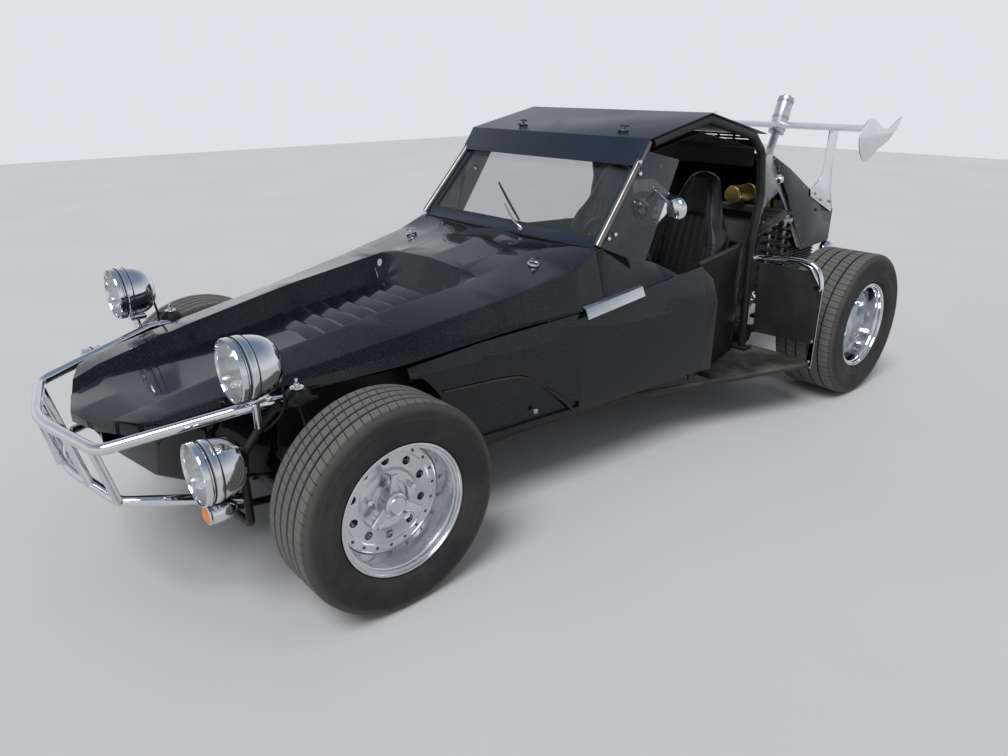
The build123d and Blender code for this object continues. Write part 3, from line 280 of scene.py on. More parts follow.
roof_paint = painted("roof_paint", shade(0.015, 0.024, 0.042), shade(0.05, 0.06, 0.078), 0.24, 0.25)
frame_paint = painted("frame_paint", shade(0.012, 0.012, 0.013), shade(0.09, 0.085, 0.075), 0.38, 0.45)
board_paint = painted("board_paint", shade(0.02, 0.02, 0.021), shade(0.16, 0.145, 0.12), 0.6, 0.9)
dash_black = painted("dash_black", shade(0.012, 0.012, 0.013), shade(0.05, 0.05, 0.05), 0.55, 0.3, 260)
cast_dark = painted("cast_engine", shade(0.1, 0.1, 0.105), shade(0.12, 0.1, 0.08), 0.6, 0.8, 120)
cover_paint = painted("cover_paint", shade(0.008, 0.01, 0.014), shade(0.045, 0.05, 0.06), 0.1, 0.22, 30)
dark_plate = painted("dark_plate", shade(0.022, 0.024, 0.028), shade(0.09, 0.095, 0.1), 0.14, 0.35, 30)
print("paints mixed")

# %% [markdown]
# ## Bare and plated metal
# Chrome is a clear mirror with faint smudges. Polished alloy is softer. Sheet aluminium shows
# the lines of its brushing, which are noise stretched along one axis, and galvanised steel shows
# spangles, which are Voronoi cells that differ a little in brightness.


# %% Metal finishes
def metal(name, colour, dull_colour, rough, scratch=(1, 1, 1), spangle=0, wear=0.35):
    plate = Finish(name)
    place = plate.place()
    lines = plate.noise(plate.place(scale=scratch), 60, 4, 0.6)
    smudge = plate.noise(place, 7, 5, 0.65).above(0.42, 0.75)
    cell = plate.axis(plate.cells(place, 85), "X")
    tone = plate.mix(smudge * wear + cell * spangle, colour, dull_colour)
    return plate.surface(Base_Color=tone, Metallic=1, Roughness=rough + smudge * 0.12 + lines * 0.1,
                         Normal=plate.bump(lines, 0.1, 0.0006))


chrome = metal("chrome_plate", shade(0.74, 0.75, 0.77), shade(0.48, 0.49, 0.51), 0.02, wear=0.25)
alloy = metal("alloy_polished", shade(0.66, 0.67, 0.69), shade(0.44, 0.44, 0.43), 0.19)
sheet_metal = metal("aluminium_sheet", shade(0.72, 0.73, 0.74), shade(0.5, 0.51, 0.52), 0.24, (2, 30, 30))
bare_steel = metal("steel_bare", shade(0.46, 0.48, 0.5), shade(0.3, 0.31, 0.32), 0.3, spangle=0.5)
brass = metal("brass_can", shade(0.48, 0.36, 0.12), shade(0.25, 0.17, 0.06), 0.34)
zinc = metal("zinc_coated", shade(0.62, 0.64, 0.66), shade(0.38, 0.39, 0.41), 0.3, spangle=0.45)
brushed = metal("aluminium_brushed", shade(0.8, 0.81, 0.82), shade(0.55, 0.56, 0.57), 0.2, (2, 60, 60))
worn_steel = metal("steel_worn", shade(0.24, 0.23, 0.215), shade(0.14, 0.125, 0.105), 0.26, wear=0.7)
dark_steel = metal("dark_steel", shade(0.12, 0.12, 0.125), shade(0.16, 0.11, 0.07), 0.42, wear=0.6)
print("metals mixed")

# %% [markdown]
# ## Glass and lenses
# The windscreen is clear with a slight dust film. A lamp lens is thick glass whose flutes bend
# the light, so it gets a bump that runs up and down, and it lets most of the reflector through.


# %% Glass finishes
def clear(name, colour, rough, solid_share, flutes, speckle):
    glass = Finish(name)
    place = glass.place()
    film = glass.noise(place, 24, 5, 0.7).above(0.45, 0.85) * speckle
    glass.material.surface_render_method = "BLENDED"
    ribs = glass.bump(glass.wave(place, 24, "Y"), flutes, 0.004)
    return glass.surface(Base_Color=colour, Roughness=rough + film * 0.4, Alpha=solid_share + film,
                         IOR=1.45, Coat_Weight=0.6, Normal=ribs)


screen_glass = clear("screen_glass", shade(0.09, 0.12, 0.12), 0.02, 0.2, 0, 0.02)
smoked = clear("smoked_plate", shade(0.03, 0.036, 0.044), 0.1, 0.72, 0, 0.12)
lens_glass = clear("lens_glass", shade(0.8, 0.82, 0.8), 0.04, 0.22, 0.5, 0.05)
amber = clear("lamp_amber", shade(0.85, 0.25, 0.02), 0.08, 0.88, 0.35, 0)
ruby = clear("lamp_red", shade(0.5, 0.01, 0.01), 0.08, 0.9, 0.35, 0)
print("glass mixed")

# %% [markdown]
# ## Trim materials
# Vinyl has a leather-like grain, which is a cell pattern pressed in as a bump. The side panels
# are woven cloth: two crossed waves make the threads. Rubber is matt with patches of pale dust.


# %% Vinyl, cloth and rubber
def vinyl():
    skin = Finish("vinyl_black")
    place = skin.place()
    grain = skin.cells(place, 420, "Distance")
    wear = skin.noise(place, 5, 4).above(0.45, 0.8)
    tone = skin.mix(wear * 0.5, shade(0.014, 0.014, 0.015), shade(0.04, 0.039, 0.037))
    return skin.surface(Base_Color=tone, Roughness=0.36 + wear * 0.12 + grain * 0.1,
                        Normal=skin.bump(grain, 0.25, 0.0008))


def cloth():
    weave = Finish("fabric_black")
    place = weave.place()
    warp, weft = (weave.axis(weave.wave(place, 190, way), "X") for way in "XZ")
    fade = weave.noise(place, 6, 5, 0.65).above(0.35, 0.75)
    tone = weave.mix(fade * 0.6, shade(0.01, 0.01, 0.011), shade(0.048, 0.046, 0.044))
    return weave.surface(Base_Color=tone, Roughness=0.82, Normal=weave.bump(warp * weft, 0.3, 0.0006))


def rubber(name):
    tyre = Finish(name)
    place = tyre.place()
    cloud = tyre.noise(place, 4.5, 5, 0.65).above(0.35, 0.7)
    fine = tyre.noise(place, 130, 3, 0.7)
    tone = tyre.mix(cloud * (0.5 + 0.5 * fine) * 0.8, shade(0.012, 0.012, 0.013), shade(0.058, 0.055, 0.051))
    return tyre.surface(Base_Color=tone, Roughness=0.72 + fine * 0.15, Normal=tyre.bump(fine, 0.2, 0.0008))


vinyl_black = vinyl()
fabric_black = cloth()
tyre_rubber = rubber("tyre_rubber")
print("trim mixed")

# %% [markdown]
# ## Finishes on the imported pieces
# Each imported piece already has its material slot, so its finish replaces the plain one there.

# %% Hand out the finishes
BY_SLOT = {
    "gelcoat_black": gel_black, "roof_paint": roof_paint, "tyre_rubber": tyre_rubber,
    "alloy_polished": alloy, "chrome_plate": chrome, "frame_paint": frame_paint,
    "steel_bare": bare_steel, "cast_engine": cast_dark, "screen_glass": screen_glass,
    "lens_glass": lens_glass, "vinyl_black": vinyl_black, "board_paint": board_paint,
    "fabric_black": fabric_black, "aluminium_sheet": sheet_metal, "brass_can": brass,
    "dark_plate": dark_plate, "lamp_amber": amber, "dash_black": dash_black,
}
for node in nodes.values():
    for holder in node.material_slots:
        holder.material = BY_SLOT[holder.material.name].material
print("dressed", len(nodes), "packed pieces")

# %% [markdown]
# ## Floor and light
# A pale studio floor lies under a broad soft sky. The background has to look white, but more
# light would flood the black body. So the world answers camera, mirror and glass rays with its
# own pale tone, which turns bluer higher up, and everything else with a plain soft light.

# %% Floor and light
SKY_LIGHT = 0.42
BACKDROP = shade(0.74, 0.76, 0.79)
ZENITH = shade(0.2, 0.27, 0.38)
bpy.ops.object.select_all(action="DESELECT")
bpy.ops.mesh.primitive_plane_add(size=30, location=(0, 0, -0.001))
floor = bpy.context.object
floor.name = "studio_floor"
ground = Finish("studio_floor")
mottle = ground.noise(ground.place(), 0.8, 3)
tone = ground.mix(mottle, shade(0.58, 0.58, 0.585), shade(0.65, 0.65, 0.655))
ground.surface(Base_Color=tone, Roughness=0.85)
floor.data.materials.append(ground.material)
floor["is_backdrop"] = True

world = bpy.data.worlds.new("soft_sky")
bpy.context.scene.world = world
sky = Nodes(world)
soft = sky.tree.nodes["Background"]
sky.feed(soft.inputs["Color"], shade(0.93, 0.96, 1))
sky.feed(soft.inputs["Strength"], SKY_LIGHT)
height = sky.axis(sky.node("ShaderNodeTexCoord", output="Generated"), "Z")
climb = sky.node("ShaderNodeMapRange", {}, {"Value": height, "From Min": 0.22, "From Max": 0.8})
seen = sky.node("ShaderNodeBackground", {}, {"Color": sky.mix(climb, BACKDROP, ZENITH), "Strength": 1})
camera_ray, glossy_ray, glass_ray = (sky.node("ShaderNodeLightPath", output=f"Is {kind} Ray")
                                     for kind in ("Camera", "Glossy", "Transmission"))
any_ray = camera_ray.math("MAXIMUM", glossy_ray).math("MAXIMUM", glass_ray)
chosen = sky.node("ShaderNodeMixShader", {}, {0: any_ray, 1: Wire(sky, soft.outputs[0]), 2: seen})
sky.feed(sky.tree.nodes["World Output"].inputs["Surface"], chosen)

sun_data = bpy.data.lights.new("soft_sun", "SUN")
sun_data.energy = 2
sun_data.angle = math.radians(28)
sun = bpy.data.objects.new("soft_sun", sun_data)
sun.rotation_euler = Vector((-0.5, -0.22, -0.84)).to_track_quat("-Z", "Y").to_euler()
bpy.context.scene.collection.objects.link(sun)
print("sun from", [round(v, 2) for v in sun.rotation_euler])

# %% [markdown]
# ## A maker's helpers
# Each new piece starts as a primitive and is shaped in edit mode. Operators act on all that is
# selected, so every helper clears the selection first. A finished piece keeps its place in its
# mesh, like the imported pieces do, and it rides on the body that carries it.


# %% Selecting, joining and settling
def clear_selection():
    if bpy.context.object and bpy.context.object.mode != "OBJECT":
        bpy.ops.object.mode_set(mode="OBJECT")
    bpy.ops.object.select_all(action="DESELECT")


def only(piece):
    clear_selection()
    piece.select_set(True)
    bpy.context.view_layer.objects.active = piece


def edit(piece):
    """Edit mode on one piece, with all of it selected."""
    only(piece)
    bpy.ops.object.mode_set(mode="EDIT")
    bpy.ops.mesh.select_all(action="SELECT")


def closed(piece, gap=0.00001):
    """Merge points closer than gap, turn the normals outwards and leave edit mode."""
    bpy.ops.mesh.select_all(action="SELECT")
    if gap:
        bpy.ops.mesh.remove_doubles(threshold=gap)
    bpy.ops.mesh.normals_make_consistent(inside=False)
    bpy.ops.object.mode_set(mode="OBJECT")
    return piece


def apply_place():
    bpy.ops.object.transform_apply(location=True, rotation=True, scale=True)


def apply_modifier(piece, kind, **settings):
    only(piece)
    modifier = piece.modifiers.new(kind.lower(), kind)
    for key, value in settings.items():
        setattr(modifier, key, value)
    bpy.ops.object.modifier_apply(modifier=modifier.name)


def soften(piece, width, segments=2, limit=32):
    """Round the sharp edges, so that they catch the light."""
    apply_modifier(piece, "BEVEL", width=width, segments=segments, limit_method="ANGLE",
                   angle_limit=math.radians(limit), use_clamp_overlap=True)


def settle(piece, name, finish, body="chassis", smooth=34):
    """Name, finish and fix a piece: its place goes into its mesh and it rides a body."""
    only(piece)
    apply_place()
    bpy.ops.object.shade_smooth_by_angle(angle=math.radians(smooth))
    piece.name = name
    piece.data.name = name
    piece.data.materials.clear()
    piece.data.materials.append(finish.material)
    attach(piece, body)
    return piece


def joined(pieces):
    """One piece made of several."""
    clear_selection()
    for piece in pieces:
        piece.select_set(True)
    bpy.context.view_layer.objects.active = pieces[0]
    apply_place()
    bpy.ops.object.join()
    return bpy.context.object


def copy_of(piece, name):
    twin = bpy.data.objects.new(name, piece.data.copy())
    bpy.context.scene.collection.objects.link(twin)
    return twin


def other_side(piece, name, body="chassis"):
    """The mirrored piece on the right-hand side, with its own mesh turned the right way out."""
    twin = copy_of(piece, name)
    twin.data.transform(Matrix.Scale(-1, 4, (0, 1, 0)))
    twin.data.flip_normals()
    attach(twin, body)
    return twin


def pair(piece, name, finish, body="chassis", smooth=34, stands_for=None):
    """Settle a left-hand piece and add its mirrored twin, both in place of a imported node.
    A body or node whose name ends in an underscore takes the side's name as well."""
    def sided(text, side):
        return text + side if text.endswith("_") else text

    settle(piece, name + "_left", finish, sided(body, "left"), smooth)
    twin = other_side(piece, name + "_right", sided(body, "right"))
    if stands_for:
        for each, side in ((piece, "left"), (twin, "right")):
            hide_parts(sided(stands_for, side))
    return piece, twin


def dressed(node, finish, width=0.0015, smooth=34, flat=1.2, body="chassis", segments=2, limit=32):
    """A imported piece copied, its doubles merged, its flat faces joined and its edges rounded."""
    piece = copy_of(nodes[node], node + "_dressed")
    edit(piece)
    bpy.ops.mesh.remove_doubles(threshold=0.00002)
    bpy.ops.mesh.dissolve_limited(angle_limit=math.radians(flat))
    bpy.ops.object.mode_set(mode="OBJECT")
    if width:
        soften(piece, width, segments, limit)
    settle(piece, node + "_dressed", finish, body, smooth)
    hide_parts(node)
    return piece


# %% [markdown]
# ## Drawing and turning
# Most shapes start as a point that is extruded along a path. A path spun about a line becomes
# a turned part, and a flat outline pushed along a direction becomes a plate.


# %% Paths, turned parts and plates
def draw(points):
    """Extrude a point along a path, and leave the path as a wire in edit mode."""
    clear_selection()
    bpy.context.tool_settings.mesh_select_mode = (True, False, False)
    bpy.ops.mesh.primitive_plane_add(size=0.01)
    bpy.ops.object.mode_set(mode="EDIT")
    bpy.ops.mesh.merge(type="CENTER")
    bpy.ops.transform.translate(value=points[0])
    for start, end in zip(points, points[1:]):
        bpy.ops.mesh.extrude_region_move(TRANSFORM_OT_translate={"value": Vector(end) - Vector(start)})
    bpy.ops.mesh.select_all(action="SELECT")
    return bpy.context.object


def spun(centre, offsets, axis, steps, degrees=360):
    """A wire at offsets from centre, spun about the line through centre."""
    piece = draw([centre + Vector(offset) for offset in offsets])
    bpy.ops.mesh.spin(steps=steps, angle=math.radians(degrees), center=centre, axis=axis)
    return closed(piece)


def turned(axle, profile, steps=72, degrees=360):
    """A (radius, offset across) profile, spun about the cross line through axle."""
    return spun(Vector(axle), [(0, across, radius) for radius, across in profile], (0, 1, 0), steps, degrees)


def turned_ahead(face, profile, steps=64):
    """A (radius, depth behind face) profile, spun about the fore and aft line through face."""
    return spun(Vector(face), [(-behind, 0, radius) for radius, behind in profile], (1, 0, 0), steps)


def turned_up(foot, profile, steps=40):
    """A (radius, height) profile, spun about the upright line through foot."""
    return spun(Vector(foot), [(radius, 0, rise) for radius, rise in profile], (0, 0, 1), steps)


def prism(ring, push, rounding, limit=32):
    """A flat outline pushed along a direction, with its edges rounded."""
    ring = [Vector(point) for point in ring]
    piece = draw(ring + ring[:1])
    bpy.ops.mesh.remove_doubles(threshold=0.00001)
    bpy.ops.mesh.edge_face_add()
    bpy.ops.mesh.extrude_region_move(TRANSFORM_OT_translate={"value": Vector(push)})
    soften(closed(piece, 0), rounding, 3, limit)
    return piece


def slab(outline, y, width, rounding):
    """An (x, z) outline at y, pushed across the car."""
    return prism([(x, y, z) for x, z in outline], (0, width, 0), rounding)


def strip(path, along_way, thick):
    """Bent sheet: the path of its section is extruded along a direction."""
    piece = draw(path)
    bpy.ops.mesh.extrude_region_move(TRANSFORM_OT_translate={"value": Vector(along_way)})
    closed(piece, 0)
    apply_modifier(piece, "SOLIDIFY", thickness=thick, offset=0)
    soften(piece, thick * 0.3, 2)
    return piece


def round_corners(corners, radii, steps=7):
    """Outline of a panel with arcs at its corners: (across, up) points round each corner."""
    outline = []
    for i, corner in enumerate(corners):
        here = Vector(corner)
        to_last = (Vector(corners[i - 1]) - here).normalized()
        to_next = (Vector(corners[(i + 1) % len(corners)]) - here).normalized()
        half = to_last.angle(to_next) / 2
        reach = radii[i] / math.tan(half)
        centre = here + (to_last + to_next).normalized() * radii[i] / math.sin(half)
        start = here + to_last * reach - centre
        end = here + to_next * reach - centre
        for k in range(steps + 1):
            outline.append(centre + start.lerp(end, k / steps).normalized() * radii[i])
    return outline


def panel_of(outline, depth_from, depth_to, rounding):
    """Flat panel standing across the car: an (across, up) outline between two fore and aft places."""
    ring = [Vector((depth_from, across, rise)) for across, rise in outline]
    return prism(ring, (depth_to - depth_from, 0, 0), rounding, limit=50)


def pick(piece, kind, test):
    """In edit mode, select the faces, edges or verts that pass the test; returns how many."""
    mesh = bmesh.from_edit_mesh(piece.data)
    bpy.context.tool_settings.mesh_select_mode = (kind == "verts", kind == "edges", kind == "faces")
    bpy.ops.mesh.select_all(action="DESELECT")
    chosen = [item for item in getattr(mesh, kind) if test(item)]
    for item in chosen:
        item.select = True
    mesh.select_flush_mode()
    bmesh.update_edit_mesh(piece.data)
    return len(chosen)


def copies_round(piece, axle, count):
    """Repeat a piece round the cross line through axle; each copy has its own mesh."""
    centre = Vector(axle)
    ring = [piece]
    for i in range(1, count):
        twin = copy_of(piece, piece.name)
        spin = (Matrix.Translation(centre) @ Matrix.Rotation(math.tau * i / count, 4, "Y")
                @ Matrix.Translation(-centre))
        twin.matrix_world = spin @ piece.matrix_world
        ring.append(twin)
    return joined(ring)


# %% [markdown]
# ## Pipe, bolt and bar
# Handles, bolts and pipes repeat all over the car. A pipe is a curve with a round section that
# is turned into a mesh. A bolt is a short six-sided prism with a rounded edge, laid along any
# direction. A bar is a box drawn from corner to corner and rounded.


# %% Small makers
def pipe(points, radius, rounded=True, sides=6, start=(0, 0, 0)):
    """A round bar along points, measured from start; its corners are soft when rounded."""
    curve = bpy.data.curves.new("pipe", "CURVE")
    curve.dimensions = "3D"
    curve.bevel_depth = radius
    curve.bevel_resolution = sides
    curve.use_fill_caps = True
    line = curve.splines.new("NURBS" if rounded else "POLY")
    line.points.add(len(points) - 1)
    for knot, point in zip(line.points, points):
        knot.co = (*(Vector(start) + Vector(point)), 1)
    if rounded:
        line.order_u = 3
        line.use_endpoint_u = True
        line.resolution_u = 10
    piece = bpy.data.objects.new("pipe", curve)
    bpy.context.scene.collection.objects.link(piece)
    only(piece)
    bpy.ops.object.convert(target="MESH")
    return bpy.context.object


def rod(points, radius, sides=6):
    """A pipe with straight runs and hard corners."""
    return pipe(points, radius, False, sides)


def along(direction):
    """Turn that lays a primitive's own Z axis along a direction."""
    return Vector(direction).to_track_quat("Z", "Y").to_euler()


def hoop(centre, direction, radius, thick, segments, sides):
    """A ring round a direction."""
    clear_selection()
    bpy.ops.mesh.primitive_torus_add(major_radius=radius, minor_radius=thick, major_segments=segments,
                                     minor_segments=sides, location=centre, rotation=along(direction))
    return bpy.context.object


def bolt(place, direction, radius=0.006, height=0.006, sides=6):
    clear_selection()
    way = Vector(direction).normalized()
    bpy.ops.mesh.primitive_cylinder_add(vertices=sides, radius=radius, depth=height,
                                        location=Vector(place) + way * height * 0.4, rotation=along(way))
    piece = bpy.context.object
    soften(piece, radius * 0.3, 2)
    return piece


def bar(low, high, rounding=0.003):
    clear_selection()
    low, high = Vector(low), Vector(high)
    bpy.ops.mesh.primitive_cube_add(size=1, location=(low + high) / 2)
    piece = bpy.context.object
    piece.scale = [abs(v) for v in high - low]
    apply_place()
    soften(piece, rounding, 3)
    return piece


print("helpers ready")

# %% [markdown]
# ## Tyres
# A road tyre's tread is a ring of equal pitches. One pitch is modelled: the cross-section is
# drawn as a wire with four grooves, spun through five degrees, and its last narrow strip is
# pushed in as a sipe. The pitch is slanted by a little twist and repeated seventy-two times.

# %% One pitch of tread, then the whole tyre
PITCHES = 72
BLOCK_SHARE = 0.91
GROOVE_DEPTH = 0.0075
SIPE_DEPTH = 0.0055
SLANT = 0.9
RIM_HALF = {"front": 0.0892, "rear": 0.1252}


def tyre_profile(radius, width, rim_half):
    """Outline from one bead over the tread to the other, as (radius, offset across)."""
    half = width / 2
    shoulder = radius - 0.03
    outline = [
        (0.1905, rim_half), (0.2085, rim_half), (0.2115, rim_half + 0.0045), (0.2125, rim_half + 0.008),
        (0.2205, half - 0.008), (0.2215, half - 0.0062), (0.232, half - 0.0022), (0.245, half - 0.0003),
        (0.2465, half + 0.0006), (0.25, half + 0.0006), (0.2515, half - 0.0003),
        (shoulder - 0.022, half - 0.0006), (shoulder - 0.0205, half + 0.0004),
        (shoulder - 0.012, half - 0.0002), (shoulder - 0.0105, half - 0.0014),
        (shoulder + 0.004, half - 0.0036), (shoulder + 0.015, half - 0.0068),
        (radius - 0.0072, half - 0.0125), (radius - 0.0028, half - 0.0195), (radius - 0.0004, half - 0.03),
    ]
    for share in (0.68, 0.24):
        middle = (half - 0.03) * share
        outline += [(radius, middle + 0.005), (radius - GROOVE_DEPTH, middle + 0.0036),
                    (radius - GROOVE_DEPTH, middle - 0.0036), (radius, middle - 0.005)]
    return outline + [(r, -a) for r, a in reversed(outline)]


def tread_rubber(name, axle, radius, half):
    """Rubber with road dust on the blocks and shoulders; the grooves' floors stay dark."""
    tyre = rubber(name)
    place = tyre.place((axle.x, 0, axle.z))
    x, y, z = (tyre.axis(place, axis) for axis in "XYZ")
    reach = (x * x + z * z).math("SQRT")
    across = (y.math("ABSOLUTE") - axle.y).math("ABSOLUTE")
    grain = tyre.noise(tyre.place(), 95, 4, 0.7)
    road = reach.above(radius - 0.0045, radius - 0.0012) * (0.55 + 0.45 * grain)
    shoulder = across.above(half - 0.03, half - 0.018) * reach.above(radius - 0.034, radius - 0.01)
    old_tone = Wire(tyre, tyre.shader.inputs["Base Color"].links[0].from_socket)
    brown = tyre.mix(shoulder * (0.3 + 0.4 * grain), old_tone, shade(0.115, 0.105, 0.09))
    return tyre.surface(Base_Color=tyre.mix(road, brown, shade(0.17, 0.166, 0.158)))


def make_tyre(end):
    axle, radius = WHEELS[end]
    low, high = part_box("tyre_" + end + "_left")
    pitch = 360 / PITCHES
    piece = turned(axle, tyre_profile(radius, high.y - low.y, RIM_HALF[end]), 2, pitch * BLOCK_SHARE)
    edit(piece)
    block_end = math.radians(pitch * BLOCK_SHARE)

    def angle_of(point):
        return abs(math.atan2(point.x - axle.x, point.z - axle.z))

    def reach(point):
        return math.hypot(point.x - axle.x, point.z - axle.z)

    def in_sipe(face):
        middle = face.calc_center_median()
        return reach(middle) > radius - 0.016 and angle_of(middle) > block_end and abs(face.normal.y) < 0.75

    pick(piece, "edges", lambda edge: all(abs(angle_of(v.co) - block_end) < 0.001 for v in edge.verts))
    bpy.ops.mesh.spin(steps=1, angle=math.radians(pitch * 0.09), center=axle, axis=(0, 1, 0))
    sipe = pick(piece, "faces", in_sipe)
    bpy.ops.mesh.extrude_region_shrink_fatten(TRANSFORM_OT_shrink_fatten={"value": -SIPE_DEPTH})
    for vert in bmesh.from_edit_mesh(piece.data).verts:
        across = vert.co.y - axle.y
        twist = Matrix.Rotation(math.copysign(min(abs(across), 0.1), across) * SLANT, 3, "Y")
        if reach(vert.co) > radius - 0.05:
            vert.co = axle + twist @ (vert.co - axle)
    bmesh.update_edit_mesh(piece.data)
    bpy.ops.mesh.select_all(action="SELECT")
    bpy.ops.mesh.spin(steps=PITCHES - 1, angle=math.tau * (PITCHES - 1) / PITCHES, dupli=True,
                      center=axle, axis=(0, 1, 0))
    closed(piece, 0.00004)
    finish = tread_rubber("tread_rubber_" + end, axle, radius, (high.y - low.y) / 2)
    pair(piece, "tread_" + end, finish, "wheel_" + end + "_", 28, "tyre_" + end + "_")
    print(end, "tyre faces", len(piece.data.polygons), "sipe faces", sipe)


for end in WHEELS:
    make_tyre(end)

# %% [markdown]
# ## Wheels
# A wheel is a deep polished rim with a riveted ring, a disc with ten round holes and bright
# nuts. Rim, disc and drum are one profile spun about the axle. The holes are cut with a
# boolean, and rivets, nuts and the front caps' three ears are repeated round the axle.

# %% Rims, rivets, nuts and caps
LIP = {"front": 0.0975, "rear": 0.1335}
DISC = {"front": LIP["front"] - 0.1, "rear": LIP["rear"] - 0.15}
HOLES, RIVETS, NUTS, EARS = 10, 20, 5, 3


def rim_profile(end):
    """(radius, offset) from the hub's face over disc, dish and lip and back behind the disc."""
    lip, disc = LIP[end], DISC[end]
    outline = [
        (0, disc + 0.014), (0.044, disc + 0.014), (0.048, disc + 0.008), (0.06, disc + 0.006),
        (0.066, disc + 0.012), (0.092, disc + 0.012), (0.1, disc + 0.003), (0.146, disc + 0.001),
        (0.149, disc + 0.007), (0.169, disc + 0.007), (0.1705, disc + 0.01), (0.1735, disc + 0.01),
        (0.175, disc + 0.004), (0.1765, disc + 0.022), (0.18, disc + 0.05), (0.1835, lip - 0.03),
        (0.186, lip - 0.02), (0.1945, lip - 0.0165), (0.1965, lip - 0.0145), (0.198, lip - 0.005),
        (0.2005, lip - 0.001), (0.204, lip), (0.207, lip - 0.0015), (0.208, lip - 0.0045),
        (0.208, lip - 0.0078), (0.1902, lip - 0.0082),
        (0.1902, 0.0082 - lip), (0.208, 0.0082 - lip), (0.208, -lip), (0.196, -lip),
        (0.183, 0.02 - lip), (0.174, disc - 0.03), (0.16, disc - 0.008), (0.122, disc - 0.012),
        (0.122, disc - 0.066),
    ]
    if end == "front":
        return outline + [(0, disc - 0.066)]
    return outline + [
        (0.025, disc - 0.066), (0.025, -0.1515), (0.046, -0.1535), (0.046, -0.2095), (0.036, -0.2115),
        (0.014, -0.24), (0.014, -0.47), (0.036, -0.4775), (0.046, -0.48), (0.046, -0.5325), (0, -0.5325),
    ]


def ring_of(kind, axle, radius, offset, size, count, depth):
    """Round buttons or holes facing outwards, spaced evenly round the axle."""
    clear_selection()
    place = Vector(axle) + Vector((0, offset, radius))
    if kind == "rivet":
        bpy.ops.mesh.primitive_uv_sphere_add(segments=12, ring_count=8, radius=size, location=place)
        bpy.context.object.scale = (1, depth / size, 1)
    else:
        bpy.ops.mesh.primitive_cylinder_add(vertices=6 if kind == "nut" else 24, radius=size, depth=depth,
                                            location=place, rotation=(math.radians(90), 0, 0))
    seed = bpy.context.object
    if kind == "nut":
        soften(seed, size * 0.25, 3)
    bpy.context.view_layer.update()
    return copies_round(seed, axle, count)


def make_cap(axle, disc):
    """Knock-off cap: a stepped hub and three flared ears."""
    hub = turned(axle, [(0, disc + 0.06), (0.025, disc + 0.059), (0.028, disc + 0.054), (0.036, disc + 0.05),
                        (0.041, disc + 0.036), (0.043, disc + 0.014), (0, disc + 0.01)], 48)
    clear_selection()
    bpy.ops.mesh.primitive_cube_add(size=1, location=axle + Vector((0, disc + 0.036, 0.064)))
    ear = bpy.context.object
    ear.scale = (0.034, 0.013, 0.072)
    apply_place()
    edit(ear)
    pick(ear, "faces", lambda face: face.normal.z > 0.9)
    bpy.ops.transform.resize(value=(0.55, 0.8, 1))
    bpy.ops.transform.translate(value=(0, 0.014, 0))
    bpy.ops.object.mode_set(mode="OBJECT")
    soften(ear, 0.004, 3)
    return joined([hub, copies_round(ear, axle, EARS)])


for end, finish, rivet_finish in (("front", alloy, dark_steel), ("rear", chrome, chrome)):
    axle, disc, body = WHEELS[end][0], DISC[end], "wheel_" + end + "_"
    rim = turned(axle, rim_profile(end), 96)
    holes = ring_of("hole", axle, 0.1235, disc, 0.0135, HOLES, 0.06)
    apply_modifier(rim, "BOOLEAN", object=holes, operation="DIFFERENCE", solver="EXACT")
    bpy.data.objects.remove(holes)
    soften(rim, 0.0012, 2, 40)
    pair(rim, "rim_face_" + end, finish, body, 30, "rim_" + end + "_")
    rivets = ring_of("rivet", axle, 0.159, disc + 0.007, 0.0052, RIVETS, 0.003)
    pair(rivets, "rim_rivets_" + end, rivet_finish, body)
    pair(ring_of("nut", axle, 0.079, disc + 0.022, 0.0105, NUTS, 0.022), "wheel_nuts_" + end, chrome, body)
    if end == "front":
        pair(make_cap(axle, disc), "spinner_" + end, alloy, body, 40)
    print(end, "wheels made")

# %% [markdown]
# ## Lamps
# Each lamp is a chrome bowl with two raised bands, a bulb inside and a domed lens in a rolled
# rim, all spun about the lamp's own fore and aft line. A black gasket sits in each groove.

# %% Bowls, lenses, bulbs and gaskets
BOWL = (
    # radius as a share of the lamp's, depth behind the front
    (0.925, 0.004), (0.945, 0), (0.975, 0), (1, 0.004), (1, 0.016), (0.975, 0.019), (0.968, 0.022),
    (0.968, 0.028), (0.995, 0.031), (1, 0.034), (1, 0.044), (0.985, 0.048), (0.965, 0.05),
    (0.955, 0.062), (0.925, 0.08), (0.87, 0.097), (0.78, 0.112), (0.66, 0.124), (0.5, 0.133),
    (0.3, 0.1385), (0, 0.14), (0, 0.122), (0.3, 0.118), (0.52, 0.106), (0.7, 0.088),
    (0.82, 0.066), (0.89, 0.04), (0.91, 0.018), (0.915, 0.008), (0.925, 0.004),
)
LENS_DOME = ((0, -0.0035), (0.3, -0.003), (0.6, -0.0015), (0.85, 0.001), (0.925, 0.004), (0.925, 0.008),
             (0, 0.006))
BULB = ((0, 0.06), (0.01, 0.062), (0.014, 0.07), (0.014, 0.088), (0.022, 0.092), (0.022, 0.122), (0, 0.122))
GROOVES = (0.0225, 0.0465)


def lamp_front(node):
    """Middle of the left lamp's front face and its radius."""
    low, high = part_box(node)
    radius = (high.z - low.z) / 2 if node == "lower_lamps" else 0.09
    return Vector((high.x, high.y - radius, high.z - radius)), radius


